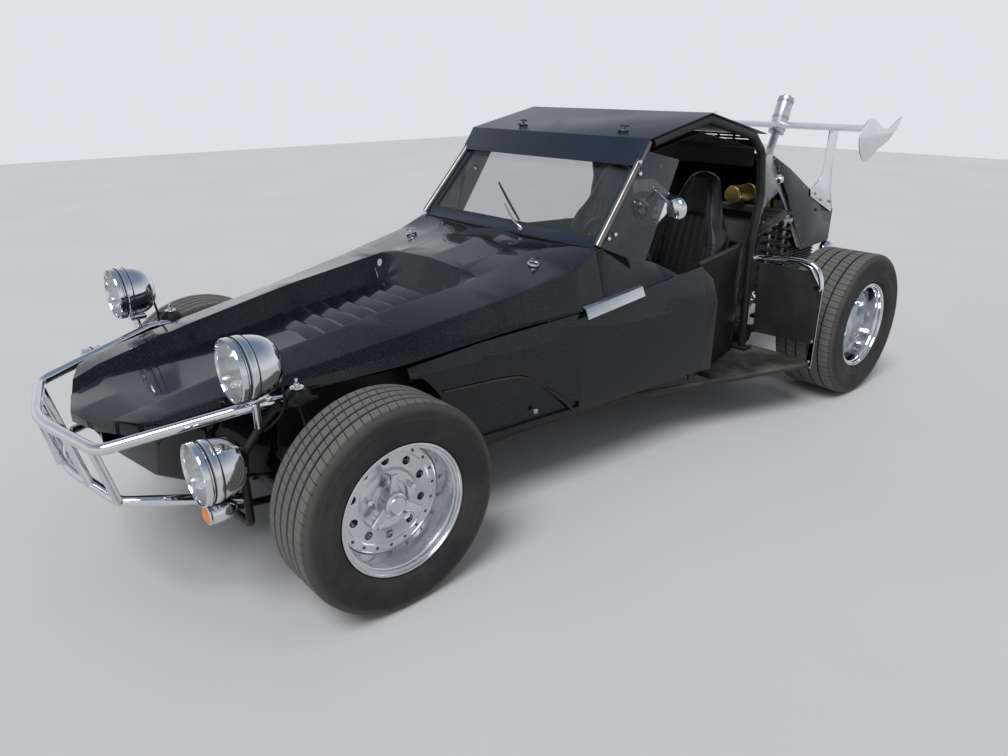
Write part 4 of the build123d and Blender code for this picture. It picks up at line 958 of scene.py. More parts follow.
for level in ("upper", "lower"):
    face, size = lamp_front(level + "_lamps")
    bowl = turned_ahead(face, [(radius * size, depth) for radius, depth in BOWL])
    pair(bowl, level + "_bowl", chrome, smooth=24, stands_for="lower_lamps" if level == "lower" else None)
    lens = turned_ahead(face, [(radius * size, depth) for radius, depth in LENS_DOME])
    pair(lens, level + "_lens", lens_glass, smooth=30, stands_for="lamp_lenses")
    pair(turned_ahead(face, BULB, 32), level + "_bulb", lens_glass)
    gasket = joined([turned_ahead(face, [
        (size * 0.96, start), (size * 0.99, start + 0.001), (size * 0.99, start + 0.004),
        (size * 0.95, start + 0.005), (size * 0.96, start)]) for start in GROOVES])
    pair(gasket, level + "_gasket", tyre_rubber)
print("lamps made", lamp_front("upper_lamps"))

# %% [markdown]
# ## Body panels
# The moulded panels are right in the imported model, but its facets would show in a gloss coat.
# Each is copied, its doubles are merged and its sharp edges rounded, and smooth shading by
# angle carries the light over the rest. The hood is the biggest moulding and gets a finer
# treatment. Tubes have no sharp edges to round.

# %% Panels and tubes
TUBES = {"width": 0, "smooth": 42, "flat": 0.1}
for node, finish in (("body_sides", gel_black), ("nose_pan", gel_black), ("scuttle", gel_black),
                     ("rear_bulkhead", frame_paint)):
    dressed(node, finish, 0.004, 38, segments=3)
dressed("roof_panel", roof_paint)
dressed("windscreen_frame", roof_paint, 0.003, segments=3)
dressed("dashboard", dash_black, 0.006, segments=4)
for node in ("bumper", "grab_rails"):
    dressed(node, chrome, **TUBES)
for node in ("roll_cage", "lamp_brackets", "rear_frame", "front_beam", "front_arms", "rear_arms"):
    dressed(node, frame_paint, **TUBES)
hood = dressed("hood", gel_black, 0.005, 44, 0.4, "hood", 4, 24)
print("hood faces", len(hood.data.polygons))

# %% [markdown]
# ## Front end
# Under each lower lamp hangs a small chrome bullet with an amber lens at its front. The upper
# lamps stand on short stems clamped to the bumper rail, with a hose down the back. A washer and
# nut hold the top of each front damper on its shelf, over a small dome. Square uprights join
# the bumper's rails, and an inner wall closes the side of the nose.

# %% Signals, stems, towers and uprights
low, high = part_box("turn_signals")
signal_front = Vector((high.x, high.y - 0.03, (low.z + high.z) / 2))
pair(turned_ahead(signal_front, [
    (0, 0.094), (0.012, 0.093), (0.02, 0.084), (0.027, 0.07), (0.03, 0.052), (0.03, 0.022),
    (0.0285, 0.019), (0.0285, 0.0165), (0.03, 0.014), (0.03, 0.01), (0.027, 0.008), (0, 0.012)], 40),
    "signal_bullet", chrome, stands_for="turn_signals")
pair(turned_ahead(signal_front, [
    (0, 0), (0.008, 0.0006), (0.014, 0.002), (0.02, 0.0045), (0.0255, 0.0085), (0.0255, 0.012),
    (0, 0.012)], 40), "signal_lens", amber)

lamp_face = lamp_front("upper_lamps")[0]
stem = joined([
    pipe([(-0.068, -0.018, -0.184), (-0.062, -0.004, -0.11), (-0.06, 0, -0.076)], 0.012, start=lamp_face),
    bar(lamp_face + Vector((-0.094, -0.03, -0.1)), lamp_face + Vector((-0.036, 0.024, -0.08)), 0.006),
    bolt(lamp_face + Vector((-0.09, 0.02, -0.092)), (0, 1, 0), 0.009, 0.012),
])
pair(stem, "lamp_stem", chrome, stands_for="upper_lamps")
hose = pipe([(-0.13, 0, -0.04), (-0.15, 0.01, -0.11), (-0.12, -0.006, -0.18), (-0.08, -0.018, -0.2)], 0.004,
            start=lamp_face)
pair(hose, "lamp_hose", tyre_rubber)

tower = front(0.169, 0.505, 0.676)
cap = joined([bolt(tower, (0, 0, 1), 0.02, 0.006, 28),
              bolt(tower + Vector((0, 0, 0.006)), (0, 0, 1), 0.009, 0.01),
              bolt(tower + Vector((0, 0, 0.014)), (0, 0, 1), 0.005, 0.016, 12)])
pair(cap, "tower_cap", chrome)
dome = turned_up((tower.x, tower.y, 0.636), [
    (0, 0), (0.04, 0), (0.042, 0.006), (0.036, 0.026), (0.026, 0.037), (0, 0.038)], 36)
pair(dome, "tower_dome", frame_paint, smooth=45)

UPRIGHTS = (
    # across, then x and z of the top and of the foot
    (0, 2.048, 0.58, 2.023, 0.424), (0.165, 2.024, 0.578, 1.989, 0.411), (-0.165, 2.024, 0.578, 1.989, 0.411),
    (0.3, 1.991, 0.576, 1.953, 0.395), (-0.3, 1.991, 0.576, 1.953, 0.395),
)
HALF_BAR = 0.012
uprights = [slab([(top_x - HALF_BAR, top_z), (top_x + HALF_BAR, top_z), (low_x + HALF_BAR, low_z),
                  (low_x - HALF_BAR, low_z)], y - 0.006, 0.012, 0.002)
            for y, top_x, top_z, low_x, low_z in UPRIGHTS]
settle(joined(uprights), "bumper_uprights", chrome)
inner_wall = slab([(1.48, 0.42), (1.48, 0.598), (1.29, 0.602), (1.15, 0.592), (0.84, 0.6), (0.84, 0.262),
                   (1.13, 0.262), (1.13, 0.42)], 0.37, 0.003, 0.001)
pair(inner_wall, "nose_inner_wall", frame_paint)
print("front end set")

# %% [markdown]
# ## Hood and roof fittings
# Two turn handles near the windscreen hold the hood down, and two more hold the visor. Each is
# a ring with a thin bar across it. Seven louvres lie in the hood's channel.


# %% Latches and louvres
def turn_handle(place, up_way, across_way):
    """Ring, spindle and cross bar of a turn latch standing on a panel."""
    up_way, across_way = Vector(up_way).normalized(), Vector(across_way).normalized()
    return joined([
        hoop(place + up_way * 0.002, up_way, 0.019, 0.0045, 36, 10),
        rod([place, place + up_way * 0.02], 0.005),
        pipe([place + up_way * 0.021 - across_way * 0.024, place + up_way * 0.024,
              place + up_way * 0.021 + across_way * 0.024], 0.0045),
    ])


LOUVRES, LOUVRE_STEP, LOUVRE_HALF = 7, 0.074, 0.222
louvres = []
for i in range(LOUVRES):
    x = 1.245 - LOUVRE_STEP * i
    z = 0.6976 - (x - 0.859) * 0.111
    louvres.append(slab([(x, z - 0.012), (x, z + 0.0005), (x - 0.05, z + 0.0205), (x - 0.054, z + 0.019),
                         (x - 0.054, z - 0.008)], -LOUVRE_HALF, 2 * LOUVRE_HALF, 0.002))
settle(joined(louvres), "hood_louvres", gel_black, "hood")
hood_latch = turn_handle(front(-0.848, 0.389, 0.851), (0.05, 0.25, 1), (1, 0.3, 0))
pair(hood_latch, "hood_latch", chrome, "hood")
for y, side in ((0.335, "left"), (-0.245, "right")):
    handle = turn_handle(front(-1.375, y, 1.2865), (-0.2, 0, 1), (0.3, 1, 0))
    settle(handle, "roof_latch_" + side, dark_steel)
print("latches set")

# %% [markdown]
# ## Windscreen
# One wiper sweeps the screen from the middle of the cowl: a bright arm on a spindle, and a
# black blade that lies on the glass. A rubber seal runs round the glass inside worn posts.

# %% Wiper, posts and seal
SCREEN_FOOT = front(-1.045, 0, 0.905)
SCREEN_HEAD = front(-1.335, 0, 1.24)
up_screen = (SCREEN_HEAD - SCREEN_FOOT).normalized()
off_screen = Vector((up_screen.z, 0, -up_screen.x))


def on_screen(y, rise, lift=0.002):
    """Point on the windscreen's outer face: y across, rise up the slant, lift off the glass."""
    return SCREEN_FOOT + Vector((0, y, 0)) + up_screen * rise + off_screen * (lift + 0.004)


spindle_at = front(-1.048, 0.104, 0.904)
arm = joined([
    bolt(spindle_at, (0.4, 0, 1), 0.011, 0.02, 16),
    pipe([spindle_at + Vector((0, 0, 0.016)), on_screen(0.07, 0.022, 0.026), on_screen(-0.01, 0.072, 0.022),
          on_screen(-0.053, 0.1, 0.014)], 0.0042),
])
settle(arm, "wiper_arm", chrome)
BLADE = ((0.069, 0.045, 0.006), (-0.053, 0.122, 0.007), (-0.171, 0.199, 0.006))
BLADE_HOLDER = ((0.036, 0.066, 0.014), (-0.053, 0.122, 0.018), (-0.14, 0.179, 0.012))
blade = joined([pipe([on_screen(*place) for place in places], thick)
                for places, thick in ((BLADE, 0.0042), (BLADE_HOLDER, 0.0038))])
settle(blade, "wiper_blade", tyre_rubber)
pair(rod([on_screen(0.531, -0.006, 0.012), on_screen(0.5, 0.452, 0.012)], 0.0135), "screen_post", worn_steel)
FOOT_HALF, HEAD_HALF = (0.497, 0.036), (0.468, 0.408)
seal = [rod([on_screen(-y, rise), on_screen(y, rise)], 0.0045) for y, rise in (FOOT_HALF, HEAD_HALF)]
seal += [rod([on_screen(side * y, rise) for y, rise in (FOOT_HALF, HEAD_HALF)], 0.0045) for side in (1, -1)]
settle(joined(seal), "screen_seal", tyre_rubber)
print("windscreen set")

# %% [markdown]
# ## Springs and dampers
# Two coil springs stand on each rear arm. The wire is a small circle, and the Screw modifier
# winds it up round the damper. End cups are turned profiles.

# %% Coil springs
SPRING_Y = 0.42
SPRING_COILS = 9
SPRING_RADIUS = 0.031
WIRE = 0.0072


def coil(foot, height):
    clear_selection()
    bpy.ops.mesh.primitive_circle_add(vertices=10, radius=WIRE, fill_type="NOTHING",
                                      rotation=(math.radians(90), 0, 0))
    wire = bpy.context.object
    apply_place()
    edit(wire)
    bpy.ops.transform.translate(value=(SPRING_RADIUS, 0, 0))
    bpy.ops.object.mode_set(mode="OBJECT")
    apply_modifier(wire, "SCREW", angle=math.tau, screw_offset=height / SPRING_COILS,
                   iterations=SPRING_COILS, steps=28, render_steps=28, use_normal_calculate=True)
    edit(wire)
    bpy.ops.mesh.select_all(action="DESELECT")
    bpy.ops.mesh.select_non_manifold()
    bpy.ops.mesh.fill_holes(sides=0)
    closed(wire, 0)
    wire.location = foot
    return wire


low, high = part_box("coil_overs")
rise = high.z - low.z
for i, ahead_of_axle in enumerate((0.224, 0.084)):
    foot = Vector((REAR_AXLE + ahead_of_axle, SPRING_Y, low.z))
    spring = coil(foot + Vector((0, 0, 0.07)), rise - 0.108)
    pair(spring, f"coil_spring_{i}", frame_paint, smooth=60, stands_for="coil_overs")
    damper = turned_up(foot, [
        (0, 0), (0.018, 0), (0.018, 0.058), (0.038, 0.06), (0.038, 0.068), (0.022, 0.07), (0.022, 0.27),
        (0.01, 0.274), (0.01, rise - 0.04), (0.036, rise - 0.038), (0.036, rise - 0.022),
        (0.016, rise - 0.02), (0.016, rise), (0, rise)])
    pair(damper, f"damper_{i}", bare_steel, smooth=40)
print("springs", round(rise, 3))

# %% [markdown]
# ## Sides
# A smoky plastic plate stands behind each screen post on four small bolts. The mirror's bowl is
# a domed profile on a bent arm with a round foot. A bent strip of scratched aluminium covers
# the joint between hood and side panel. A thin dark rubber line along the edge of the pressed panel
# is painted shade: it stands in for the shadow in the gap round the panel's recess.

# %% Deflectors, mirrors, strips and lips
dressed("wind_deflectors", smoked)
deflector_low = front(-1.055, 0.529, 0.903)
deflector_high = front(-1.285, 0.502, 1.233)
bolts = []
for share, back in ((0.16, 0.022), (0.78, 0.022), (0.1, 0.004), (0.88, 0.004)):
    place = deflector_low.lerp(deflector_high, share) + Vector((-back, 0.01 + back * 0.25, -back * 0.45))
    bolts.append(bolt(place, (0.1, 0.97, 0.1), 0.008, 0.008, 16))
pair(joined(bolts), "deflector_bolts", chrome)

mirror_face = front(-1.306, 0.65, 1.029)
MIRROR_FOOT = Vector((-0.031, -0.118, 0.06))
mirror = joined([
    turned_ahead(mirror_face, [
        (0, 0), (0.012, 0.0006), (0.022, 0.0024), (0.031, 0.006), (0.038, 0.011), (0.042, 0.018),
        (0.0425, 0.026), (0.04, 0.029), (0.037, 0.0275), (0, 0.0275)], 48),
    pipe([(-0.012, -0.02, 0.01), (-0.02, -0.055, 0.03), MIRROR_FOOT], 0.0055, start=mirror_face),
    bolt(mirror_face + MIRROR_FOOT, (0, 1, -0.2), 0.015, 0.008, 24),
])
pair(mirror, "mirror", chrome, smooth=40, stands_for="door_mirrors")
cover_strip = strip([front(-1.232, 0.56, 0.748), front(-1.234, 0.59, 0.738), front(-1.226, 0.612, 0.706)],
                    (0.315, 0, -0.03), 0.0028)
pair(cover_strip, "corner_strip", sheet_metal)
pair(bolt((0.6308, 0.57, 0.3697), (0.1, 1, 0), 0.01, 0.004, 24), "side_screw", bare_steel)
# Painted shade: a dark rubber line along the recess edge stands in for the shadow in its gap.
lip = pipe([(1.0086, 0.533, 0.5353), (0.8654, 0.5474, 0.531), (0.738, 0.56, 0.524), (0.685, 0.5655, 0.513),
            (0.6306, 0.5711, 0.483), (0.5403, 0.5802, 0.4099), (0.4766, 0.5865, 0.354), (0.45, 0.5892, 0.32)],
           0.0045)
pair(lip, "recess_shade_line", tyre_rubber)
print("mirror at", [round(v, 3) for v in mirror_face])

# %% [markdown]
# ## Rails, struts and cloth panels
# Behind the doorway a bent chrome rail carries a black cloth panel that keeps mud off the
# cabin. A flat aluminium strut runs from the rail down to the running board.

# %% Rails and panels
RAIL_X = -0.869
RAIL_RADIUS = 0.0122
rail = joined([
    pipe([(RAIL_X, y, z) for y, z in ((0.5, 0.694), (0.62, 0.706), (0.712, 0.714), (0.78, 0.708),
                                      (0.826, 0.664), (0.832, 0.604))], RAIL_RADIUS),
    rod([(RAIL_X + 0.06, 0.5, 0.694), (RAIL_X, 0.506, 0.694)], RAIL_RADIUS),
])
pair(rail, "grab_rail", chrome, stands_for="grab_rails")
strut = joined([bar((RAIL_X - 0.002, 0.815, 0.236), (RAIL_X + 0.002, 0.841, 0.622), 0.0012)]
               + [bolt((RAIL_X + 0.004, 0.828, z), (1, 0, 0), 0.008, 0.007) for z in (0.6, 0.36, 0.262)])
pair(strut, "panel_strut", sheet_metal)
cloth_outline = round_corners([(0.52, 0.676), (0.8, 0.676), (0.838, 0.6), (0.836, 0.345), (0.53, 0.335)],
                              [0.02, 0.06, 0.05, 0.012, 0.012])
cloth_panel = panel_of(cloth_outline, RAIL_X + 0.002, RAIL_X + 0.0065, 0.0015)
pair(cloth_panel, "cloth_panel", fabric_black, stands_for="mud_panels")
dressed("running_boards", board_paint, smooth=42, flat=0.1)
print("rails and panels set")

# %% [markdown]
# ## Tail
# The rear cover's sheets are packed already, so they only need rounded edges, rows of rivets
# along the seams and two small fittings. The silencer and the air canister get bands, the wing
# a brushed finish and bolts, and the tail lamps red lenses.

# %% Covers, silencer, canister, wing and lamps
ACROSS = (0, 1, 0)
dressed("rear_cover", cover_paint, 0.003, 30, segments=3)
dressed("quarter_panels", cover_paint, smooth=40)
SEAM_RIVETS, EDGE_RIVETS = 9, 7
rivets = []
for i in range(SEAM_RIVETS):
    place = rear(-0.15, 0.352, 1.105).lerp(rear(0.332, 0.312, 0.612), i / (SEAM_RIVETS - 1))
    rivets.append(bolt(place + Vector((-0.01, 0.0015, 0.006)), ACROSS, 0.0042, 0.003, 10))
for i in range(EDGE_RIVETS):
    place = rear(-0.13, 0.3515, 1.108).lerp(rear(0.59, 0.3115, 0.806), (i + 0.5) / EDGE_RIVETS)
    rivets.append(bolt(place + Vector((0, 0.0005, -0.014)), ACROSS, 0.0042, 0.003, 10))
pair(joined(rivets), "cover_rivets", bare_steel)
knob = joined([bolt(front(-2.555, 0.3525, 1.01), ACROSS, 0.026, 0.016, 32),
               bolt(front(-2.555, 0.36, 1.01), ACROSS, 0.017, 0.022, 32)])
pair(knob, "cover_knob", sheet_metal)
pair(bolt(front(-3.093, 0.3115, 0.797), ACROSS, 0.008, 0.002, 20), "cover_plug", tyre_rubber)

PIPE_LOW = rear(0.598, -0.08, 1.18)
PIPE_HIGH = rear(0.671, -0.08, 1.372)
dressed("exhaust", zinc, 0.003, 42, 0.1, segments=3)
way = (PIPE_HIGH - PIPE_LOW).normalized()
bands = []
for share in (0.1, 0.4, 0.86):
    band_low = PIPE_LOW.lerp(PIPE_HIGH, share)
    bands.append(rod([band_low, band_low + way * 0.014], 0.0475, 14))
settle(joined(bands), "silencer_bands", bare_steel, smooth=40)
dressed("intake", brass, 0.004, 42, 0.1, segments=3)
canister_bands = [rod([rear(behind, 0.2, 0.932), rear(behind - 0.008, 0.2, 0.932)], 0.0455, 14)
                  for behind in (-0.086, -0.225)]
settle(joined(canister_bands), "canister_bands", chrome, smooth=40)
dressed("wing", brushed, 0.0012, 36)
dressed("wing_uprights", brushed, 0.0012)
wing_bolts = [bolt(rear(behind, 0.3165, high), ACROSS, 0.0085, 0.007)
              for behind, high in ((0.395, 0.89), (0.575, 0.83), (0.47, 0.85))]
pair(joined(wing_bolts), "upright_bolts", bare_steel)

low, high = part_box("tail_lamps")
depth = high.x - low.x
lamp_mouth = Vector((high.x, high.y - 0.04, (low.z + high.z) / 2))
pair(turned_ahead(lamp_mouth, [
    (0, 0), (0.014, 0.001), (0.022, 0.008), (0.03, 0.022), (0.036, 0.034), (0.0395, 0.044), (0.04, 0.052),
    (0.04, 0.076), (0.037, 0.082), (0, 0.08)], 40), "tail_bullet", chrome, stands_for="tail_lamps")
pair(turned_ahead(lamp_mouth, [
    (0, 0.08), (0.0365, 0.08), (0.0365, 0.084), (0.031, depth - 0.003), (0.018, depth - 0.001),
    (0, depth)], 40), "tail_lens", ruby)
print("tail set, lamps", round(depth, 3))

# %% [markdown]
# ## Cabin
# The steering wheel is a torus with three split spokes on a boss. Dials and switches stand in
# the dash, and a gear lever and a handbrake rise from the tunnel.

# %% Steering wheel
HUB = front(-1.45, 0.27, 0.78)
TILT = math.radians(25)
to_driver = Vector((-math.cos(TILT), 0, math.sin(TILT)))
rim = hoop(HUB, to_driver, 0.17, 0.0135, 72, 14)
settle(rim, "steering_rim", vinyl_black, "steering_wheel", 60)
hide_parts("steering_wheel")
across = Vector(ACROSS)
up_wheel = to_driver.cross(across).normalized()
up_wheel = up_wheel if up_wheel.z > 0 else -up_wheel
spokes = []
for turn_to in (90, 210, 330):
    reach = across * math.cos(math.radians(turn_to)) + up_wheel * -math.sin(math.radians(turn_to))
    for sideways in (-0.007, 0.007):
        offset = reach.cross(to_driver).normalized() * sideways
        spokes.append(pipe([HUB - to_driver * 0.026 + reach * 0.02 + offset * 1.6,
                            HUB - to_driver * 0.016 + reach * 0.09 + offset,
                            HUB + reach * 0.166 + offset], 0.0045))
boss = joined(spokes + [bolt(HUB - to_driver * 0.03, to_driver, 0.034, 0.03, 40),
                        bolt(HUB - to_driver * 0.014, to_driver, 0.022, 0.012, 40),
                        rod([HUB - to_driver * 0.03, HUB - to_driver * 0.4], 0.0088)])
settle(boss, "steering_boss", bare_steel, "steering_wheel", 40)
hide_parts("steering_wheel")
print("steering wheel at", [round(v, 3) for v in HUB])

# %% Dials, switches and levers
face_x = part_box("dashboard")[0].x
DIAL_Z = 0.8
SWITCHES = 5
dial_rings, dial_faces = [], []
for y, size in ((0.27, 0.045), (0.155, 0.028), (0.385, 0.028), (0.06, 0.028), (-0.04, 0.028)):
    dial_rings.append(hoop((face_x - 0.002, y, DIAL_Z), (-1, 0, 0), size, 0.004, 40, 8))
    dial_faces.append(bolt((face_x, y, DIAL_Z), (-1, 0, 0), size * 0.95, 0.004, 36))
for i in range(SWITCHES):
    y = -0.12 - 0.035 * i
    dial_rings.append(pipe([(face_x, y, 0.75), (face_x - 0.022, y, 0.754)], 0.004))
settle(joined(dial_rings), "dial_rings", chrome, smooth=60)
settle(joined(dial_faces), "dial_faces", dash_black)
lever = joined([
    pipe([front(-1.5, 0, 0.27), front(-1.52, 0, 0.42), front(-1.57, 0, 0.6)], 0.008),
    turned_up(front(-1.57, 0, 0.585), [(0, 0), (0.013, 0), (0.022, 0.014), (0.025, 0.028), (0.022, 0.042),
                                       (0.012, 0.051), (0, 0.053)], 28),
    turned_up(front(-1.5, 0, 0.278), [(0, 0), (0.048, 0), (0.04, 0.018), (0.026, 0.034), (0.018, 0.052),
                                      (0, 0.052)], 28),
])
settle(lever, "gear_lever", dash_black, smooth=50)
brake = joined([
    pipe([front(-1.64, 0.028, 0.272), front(-1.76, 0.028, 0.33), front(-1.85, 0.028, 0.372)], 0.01),
    pipe([front(-1.85, 0.028, 0.372), front(-1.93, 0.028, 0.41)], 0.014),
])
settle(brake, "hand_brake", dash_black, smooth=50)
print("cabin fittings set")

# %% [markdown]
# ## Seats
# A seat is padding under vinyl. Closed rolls and pads are laid side by side, a voxel remesh
# joins them into one skin, and a short cloth simulation with a little pressure fills it. The
# valleys between the rolls stay as sewn channels. The swelling is capped, the modifier is
# applied, and the right-hand seat is a mirrored copy.

# %% Padding
BACK_ROLLS, BACK_STEP = 6, 0.043
CUSHION_ROLLS, CUSHION_STEP = 6, 0.052
HEAD_ROLLS, HEAD_STEP = 7, 0.024
PRESSURE = 4
FRAMES = 20
SEAT_MIDDLE = 0.262
BACK_FOOT = Vector((-0.56, SEAT_MIDDLE, 0.42))
BACK_HEAD = Vector((-0.735, SEAT_MIDDLE, 1.09))
up_back = (BACK_HEAD - BACK_FOOT).normalized()
out_of_back = Vector((up_back.z, 0, -up_back.x))
BOLSTER = (
    # across, up the back and out of it
    (0.165, -0.01, 0.02), (0.172, 0.2, 0.034), (0.166, 0.37, 0.026), (0.118, 0.48, 0.004),
    (0.086, 0.57, -0.012), (0.062, 0.635, -0.02), (0.034, 0.655, -0.024), (0, 0.66, -0.024),
)


def puffed(pieces, name, voxel, cap, hold):
    """One skin over closed parts, swollen by a cloth simulation; hold(point) keeps a point still."""
    skin = joined(pieces)
    apply_modifier(skin, "REMESH", mode="VOXEL", voxel_size=voxel)
    before = [vert.co.copy() for vert in skin.data.vertices]
    pins = skin.vertex_groups.new(name="held")
    pins.add([i for i, point in enumerate(before) if hold(point)], 1, "REPLACE")
    only(skin)
    cloth = skin.modifiers.new("cloth", "CLOTH")
    cloth.settings.quality = 5
    cloth.settings.vertex_group_mass = "held"
    cloth.settings.use_pressure = True
    cloth.settings.uniform_pressure_force = PRESSURE
    cloth.settings.effector_weights.gravity = 0
    cloth.point_cache.frame_start = 1
    cloth.point_cache.frame_end = FRAMES
    for step in range(1, FRAMES + 1):
        bpy.context.scene.frame_set(step)
    bpy.ops.object.modifier_apply(modifier=cloth.name)
    bpy.context.scene.frame_set(1)
    for vert, old in zip(skin.data.vertices, before):
        moved = vert.co - old
        if moved.length > cap:
            vert.co = old + moved.normalized() * cap
    apply_modifier(skin, "CORRECTIVE_SMOOTH", iterations=3, use_only_smooth=True)
    apply_modifier(skin, "SUBSURF", levels=1, render_levels=1)
    twin = pair(skin, name, vinyl_black, smooth=180, stands_for="seats")[1]
    return skin


def back_roll(radius, *places):
    """Roll through (across, up, out) places on the seat back."""
    knots = [BACK_FOOT + Vector((0, y, 0)) + up_back * rise + out_of_back * out for y, rise, out in places]
    return pipe(knots, radius, sides=5)


def cushion_roll(radius, *places):
    """Roll through (x, off the seat's middle, z) places."""
    return pipe([(x, SEAT_MIDDLE + y, z) for x, y, z in places], radius, sides=5)


parts = []
for i in range(BACK_ROLLS):
    y = (i - 2.5) * BACK_STEP
    parts.append(back_roll(0.033, (y, 0.015, -0.01), (y, 0.28, -0.002), (y * 0.85, 0.48, -0.006)))
for side in (-1, 1):
    parts.append(back_roll(0.032, *[(side * y, rise, out) for y, rise, out in BOLSTER]))
for i in range(HEAD_ROLLS):
    rise, half = 0.5 + HEAD_STEP * i, 0.084 - 0.008 * i
    parts.append(back_roll(0.032, (-half, rise, -0.018), (0, rise, -0.012), (half, rise, -0.018)))
for y in (-0.13, -0.065, 0, 0.065, 0.13):
    top, spread = (0.44, 1) if abs(y) > 0.1 else (0.6, 0.55)
    parts.append(back_roll(0.036, (y, 0.01, -0.04), (y * 0.95, 0.3, -0.046), (y * spread, top, -0.042)))
seat_back = puffed(parts, "seat_back", 0.0072, 0.01,
                   lambda point: (point - BACK_FOOT).dot(out_of_back) < -0.055)

parts = []
for i in range(CUSHION_ROLLS):
    x = -0.44 + i * CUSHION_STEP
    parts.append(cushion_roll(0.0285, (x, -0.135, 0.372 + 0.006 * i), (x, 0, 0.364 + 0.006 * i),
                              (x, 0.135, 0.372 + 0.006 * i)))
for side in (-1, 1):
    parts.append(cushion_roll(0.033, (-0.5, side * 0.168, 0.385), (-0.3, side * 0.17, 0.392),
                              (-0.14, side * 0.166, 0.382), (-0.115, side * 0.15, 0.35)))
parts.append(cushion_roll(0.036, (-0.128, -0.15, 0.368), (-0.116, 0, 0.372), (-0.128, 0.15, 0.368)))
parts.append(bar((-0.5, SEAT_MIDDLE - 0.175, 0.29), (-0.112, SEAT_MIDDLE + 0.175, 0.372), 0.02))
seat_cushion = puffed(parts, "seat_cushion", 0.006, 0.008, lambda point: point.z < 0.305)
print("seats", len(seat_back.data.polygons), len(seat_cushion.data.polygons))

# %% Seat shells
SHELL_LEAN = math.radians(12.7)
SHELL = ((-0.195, 0.3), (0.195, 0.3), (0.18, 0.8), (0.08, 0.96), (0.06, 1.06), (-0.06, 1.06), (-0.08, 0.96),
         (-0.18, 0.8))
shell = panel_of(round_corners([(SEAT_MIDDLE + y, z) for y, z in SHELL],
                               [0.04, 0.04, 0.05, 0.08, 0.03, 0.03, 0.08, 0.05]), -0.56, -0.548, 0.004)
edit(shell)
bpy.ops.transform.translate(value=(-0.052, 0, 0))
bpy.ops.transform.rotate(value=SHELL_LEAN, orient_axis="Y", center_override=(-0.606, SEAT_MIDDLE, 0.3))
bpy.ops.object.mode_set(mode="OBJECT")
pair(shell, "seat_shell", dash_black, smooth=30, stands_for="seats")
print("seat shells set")

# %% [markdown]
# ## Engine
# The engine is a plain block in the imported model, and the cover hides most of it. What shows
# from behind and below gets its shape: stacked cooling fins, pressed rocker covers, a pulley
# with its belt, and short exhaust stubs.

# %% Engine dressing
dressed("engine_block", cast_dark, 0.01, 30, segments=3)
ENGINE_REAR = -1.879
ENGINE_SIDE = 0.262
BELT_X = ENGINE_REAR - 0.026
FINS, FIN_STEP = 11, 0.016
fins = [bar((start, ENGINE_SIDE, 0.5 + FIN_STEP * i), (end, 0.284, 0.5 + FIN_STEP * i + 0.005), 0.0012)
        for i in range(FINS) for start, end in ((-1.85, -1.65), (-1.63, -1.43))]
pair(joined(fins), "cooling_fins", cast_dark)
rocker = joined([bar((start, ENGINE_SIDE, 0.395), (start + 0.18, 0.296, 0.47), 0.012)
                 for start in (-1.84, -1.62)])
pair(rocker, "rocker_covers", bare_steel)
stubs = [pipe([(x, ENGINE_SIDE, 0.37), (x, 0.296, 0.366), (x - 0.02, 0.31, 0.345), (x - 0.06, 0.312, 0.335)],
              0.017) for x in (-1.56, -1.77)]
pair(joined(stubs + [rod([(-1.56, 0.312, 0.335), (-1.9, 0.312, 0.335)], 0.02)]), "exhaust_stubs", dark_steel,
     smooth=50)


def turned_behind(height, profile):
    """A (radius, distance behind the engine) profile, spun about a fore and aft line."""
    return turned_ahead((ENGINE_REAR, 0, height), [(radius, -out) for radius, out in profile], 48)


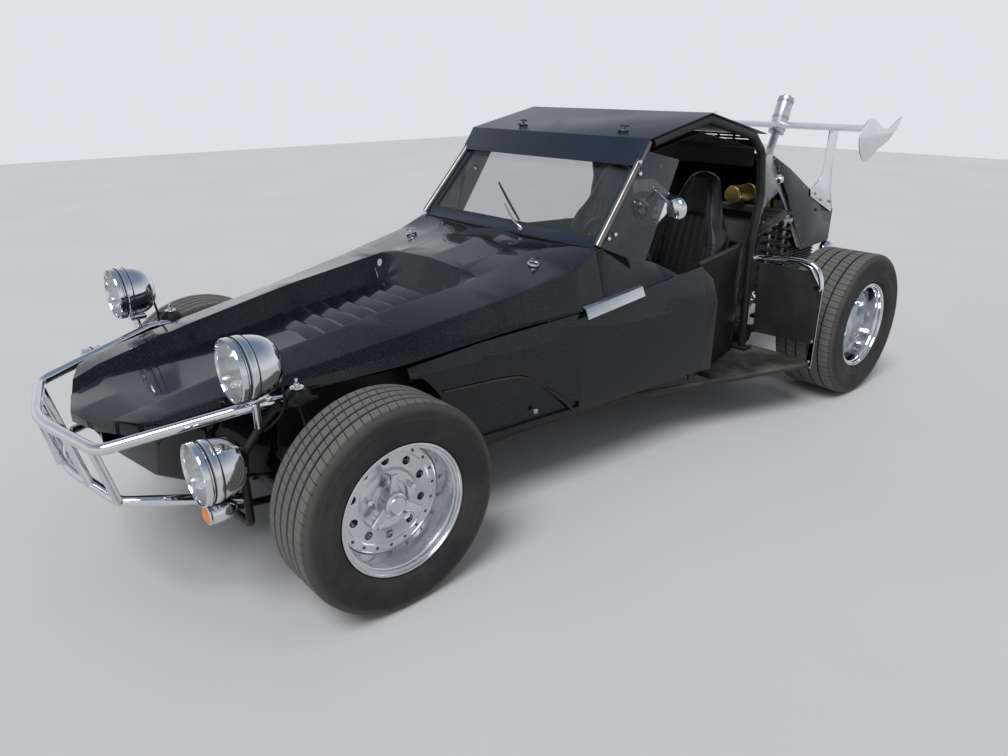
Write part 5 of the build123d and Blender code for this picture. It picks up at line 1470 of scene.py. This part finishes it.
pulley = turned_behind(0.505, [
    (0, 0), (0.03, 0), (0.03, 0.012), (0.078, 0.014), (0.086, 0.018), (0.074, 0.026), (0.086, 0.034),
    (0.078, 0.038), (0.04, 0.036), (0.024, 0.044), (0, 0.044)])
dynamo = turned_behind(0.672, [
    (0, 0), (0.048, 0), (0.052, 0.004), (0.052, 0.012), (0.038, 0.018), (0.048, 0.022), (0.04, 0.026),
    (0.048, 0.03), (0.036, 0.034), (0.012, 0.036), (0.012, 0.044), (0, 0.044)])
settle(joined([pulley, dynamo]), "engine_pulleys", bare_steel, smooth=40)
belt = pipe([(BELT_X, y, z) for y, z in (
    (0.08, 0.505), (0.062, 0.59), (0.044, 0.672), (0, 0.712), (-0.044, 0.672), (-0.062, 0.59), (-0.08, 0.505),
    (-0.058, 0.446), (0, 0.424), (0.058, 0.446), (0.08, 0.505))], 0.0055)
settle(belt, "engine_belt", tyre_rubber, smooth=50)
print("engine dressed")

# %% [markdown]
# ## Roof lining
# A panel hangs under the roof with rows of bright slats, and a louvre closes the gap above the
# bulkhead. Together they keep the cabin as dark as it is in the photograph.

# %% Lining, slats and louvre
LINING = ((-0.04, 1.214), (-0.37, 1.276), (-0.776, 1.196), (-0.776, 1.193), (-0.37, 1.273), (-0.04, 1.211))
settle(slab(LINING, -0.475, 0.95, 0.0008), "roof_lining", dash_black)
SLAT_ROWS, SLATS = (-0.47, -0.56, -0.65), 9
slats = []
for x in SLAT_ROWS:
    z = 1.276 + (x + 0.37) * 0.197
    for i in range(SLATS):
        slats.append(slab([(x, z + 0.0015), (x - 0.012, z - 0.0009), (x - 0.012, z + 0.0016), (x, z + 0.004)],
                          -0.4 + 0.1 * i, 0.062, 0.0006))
settle(joined(slats), "lining_slats", sheet_metal)
louvre = [bar((-0.78, -0.478, 1.112), (-0.777, 0.478, 1.198), 0.0008)]
for i in range(4):
    louvre.append(bar((-0.78, -0.455, 1.203 + 0.013 * i), (-0.777, 0.455, 1.2125 + 0.013 * i), 0.0008))
for i in range(12):
    y = -0.455 + 0.0815 * i
    louvre.append(bar((-0.7795, y, 1.19), (-0.7775, y + 0.0135, 1.25), 0.0005))
settle(joined(louvre), "rear_louvre", dash_black)
print("lining set")

# %% Sizes and finish
low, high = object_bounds()
print("visual size", [round(v, 3) for v in high - low])
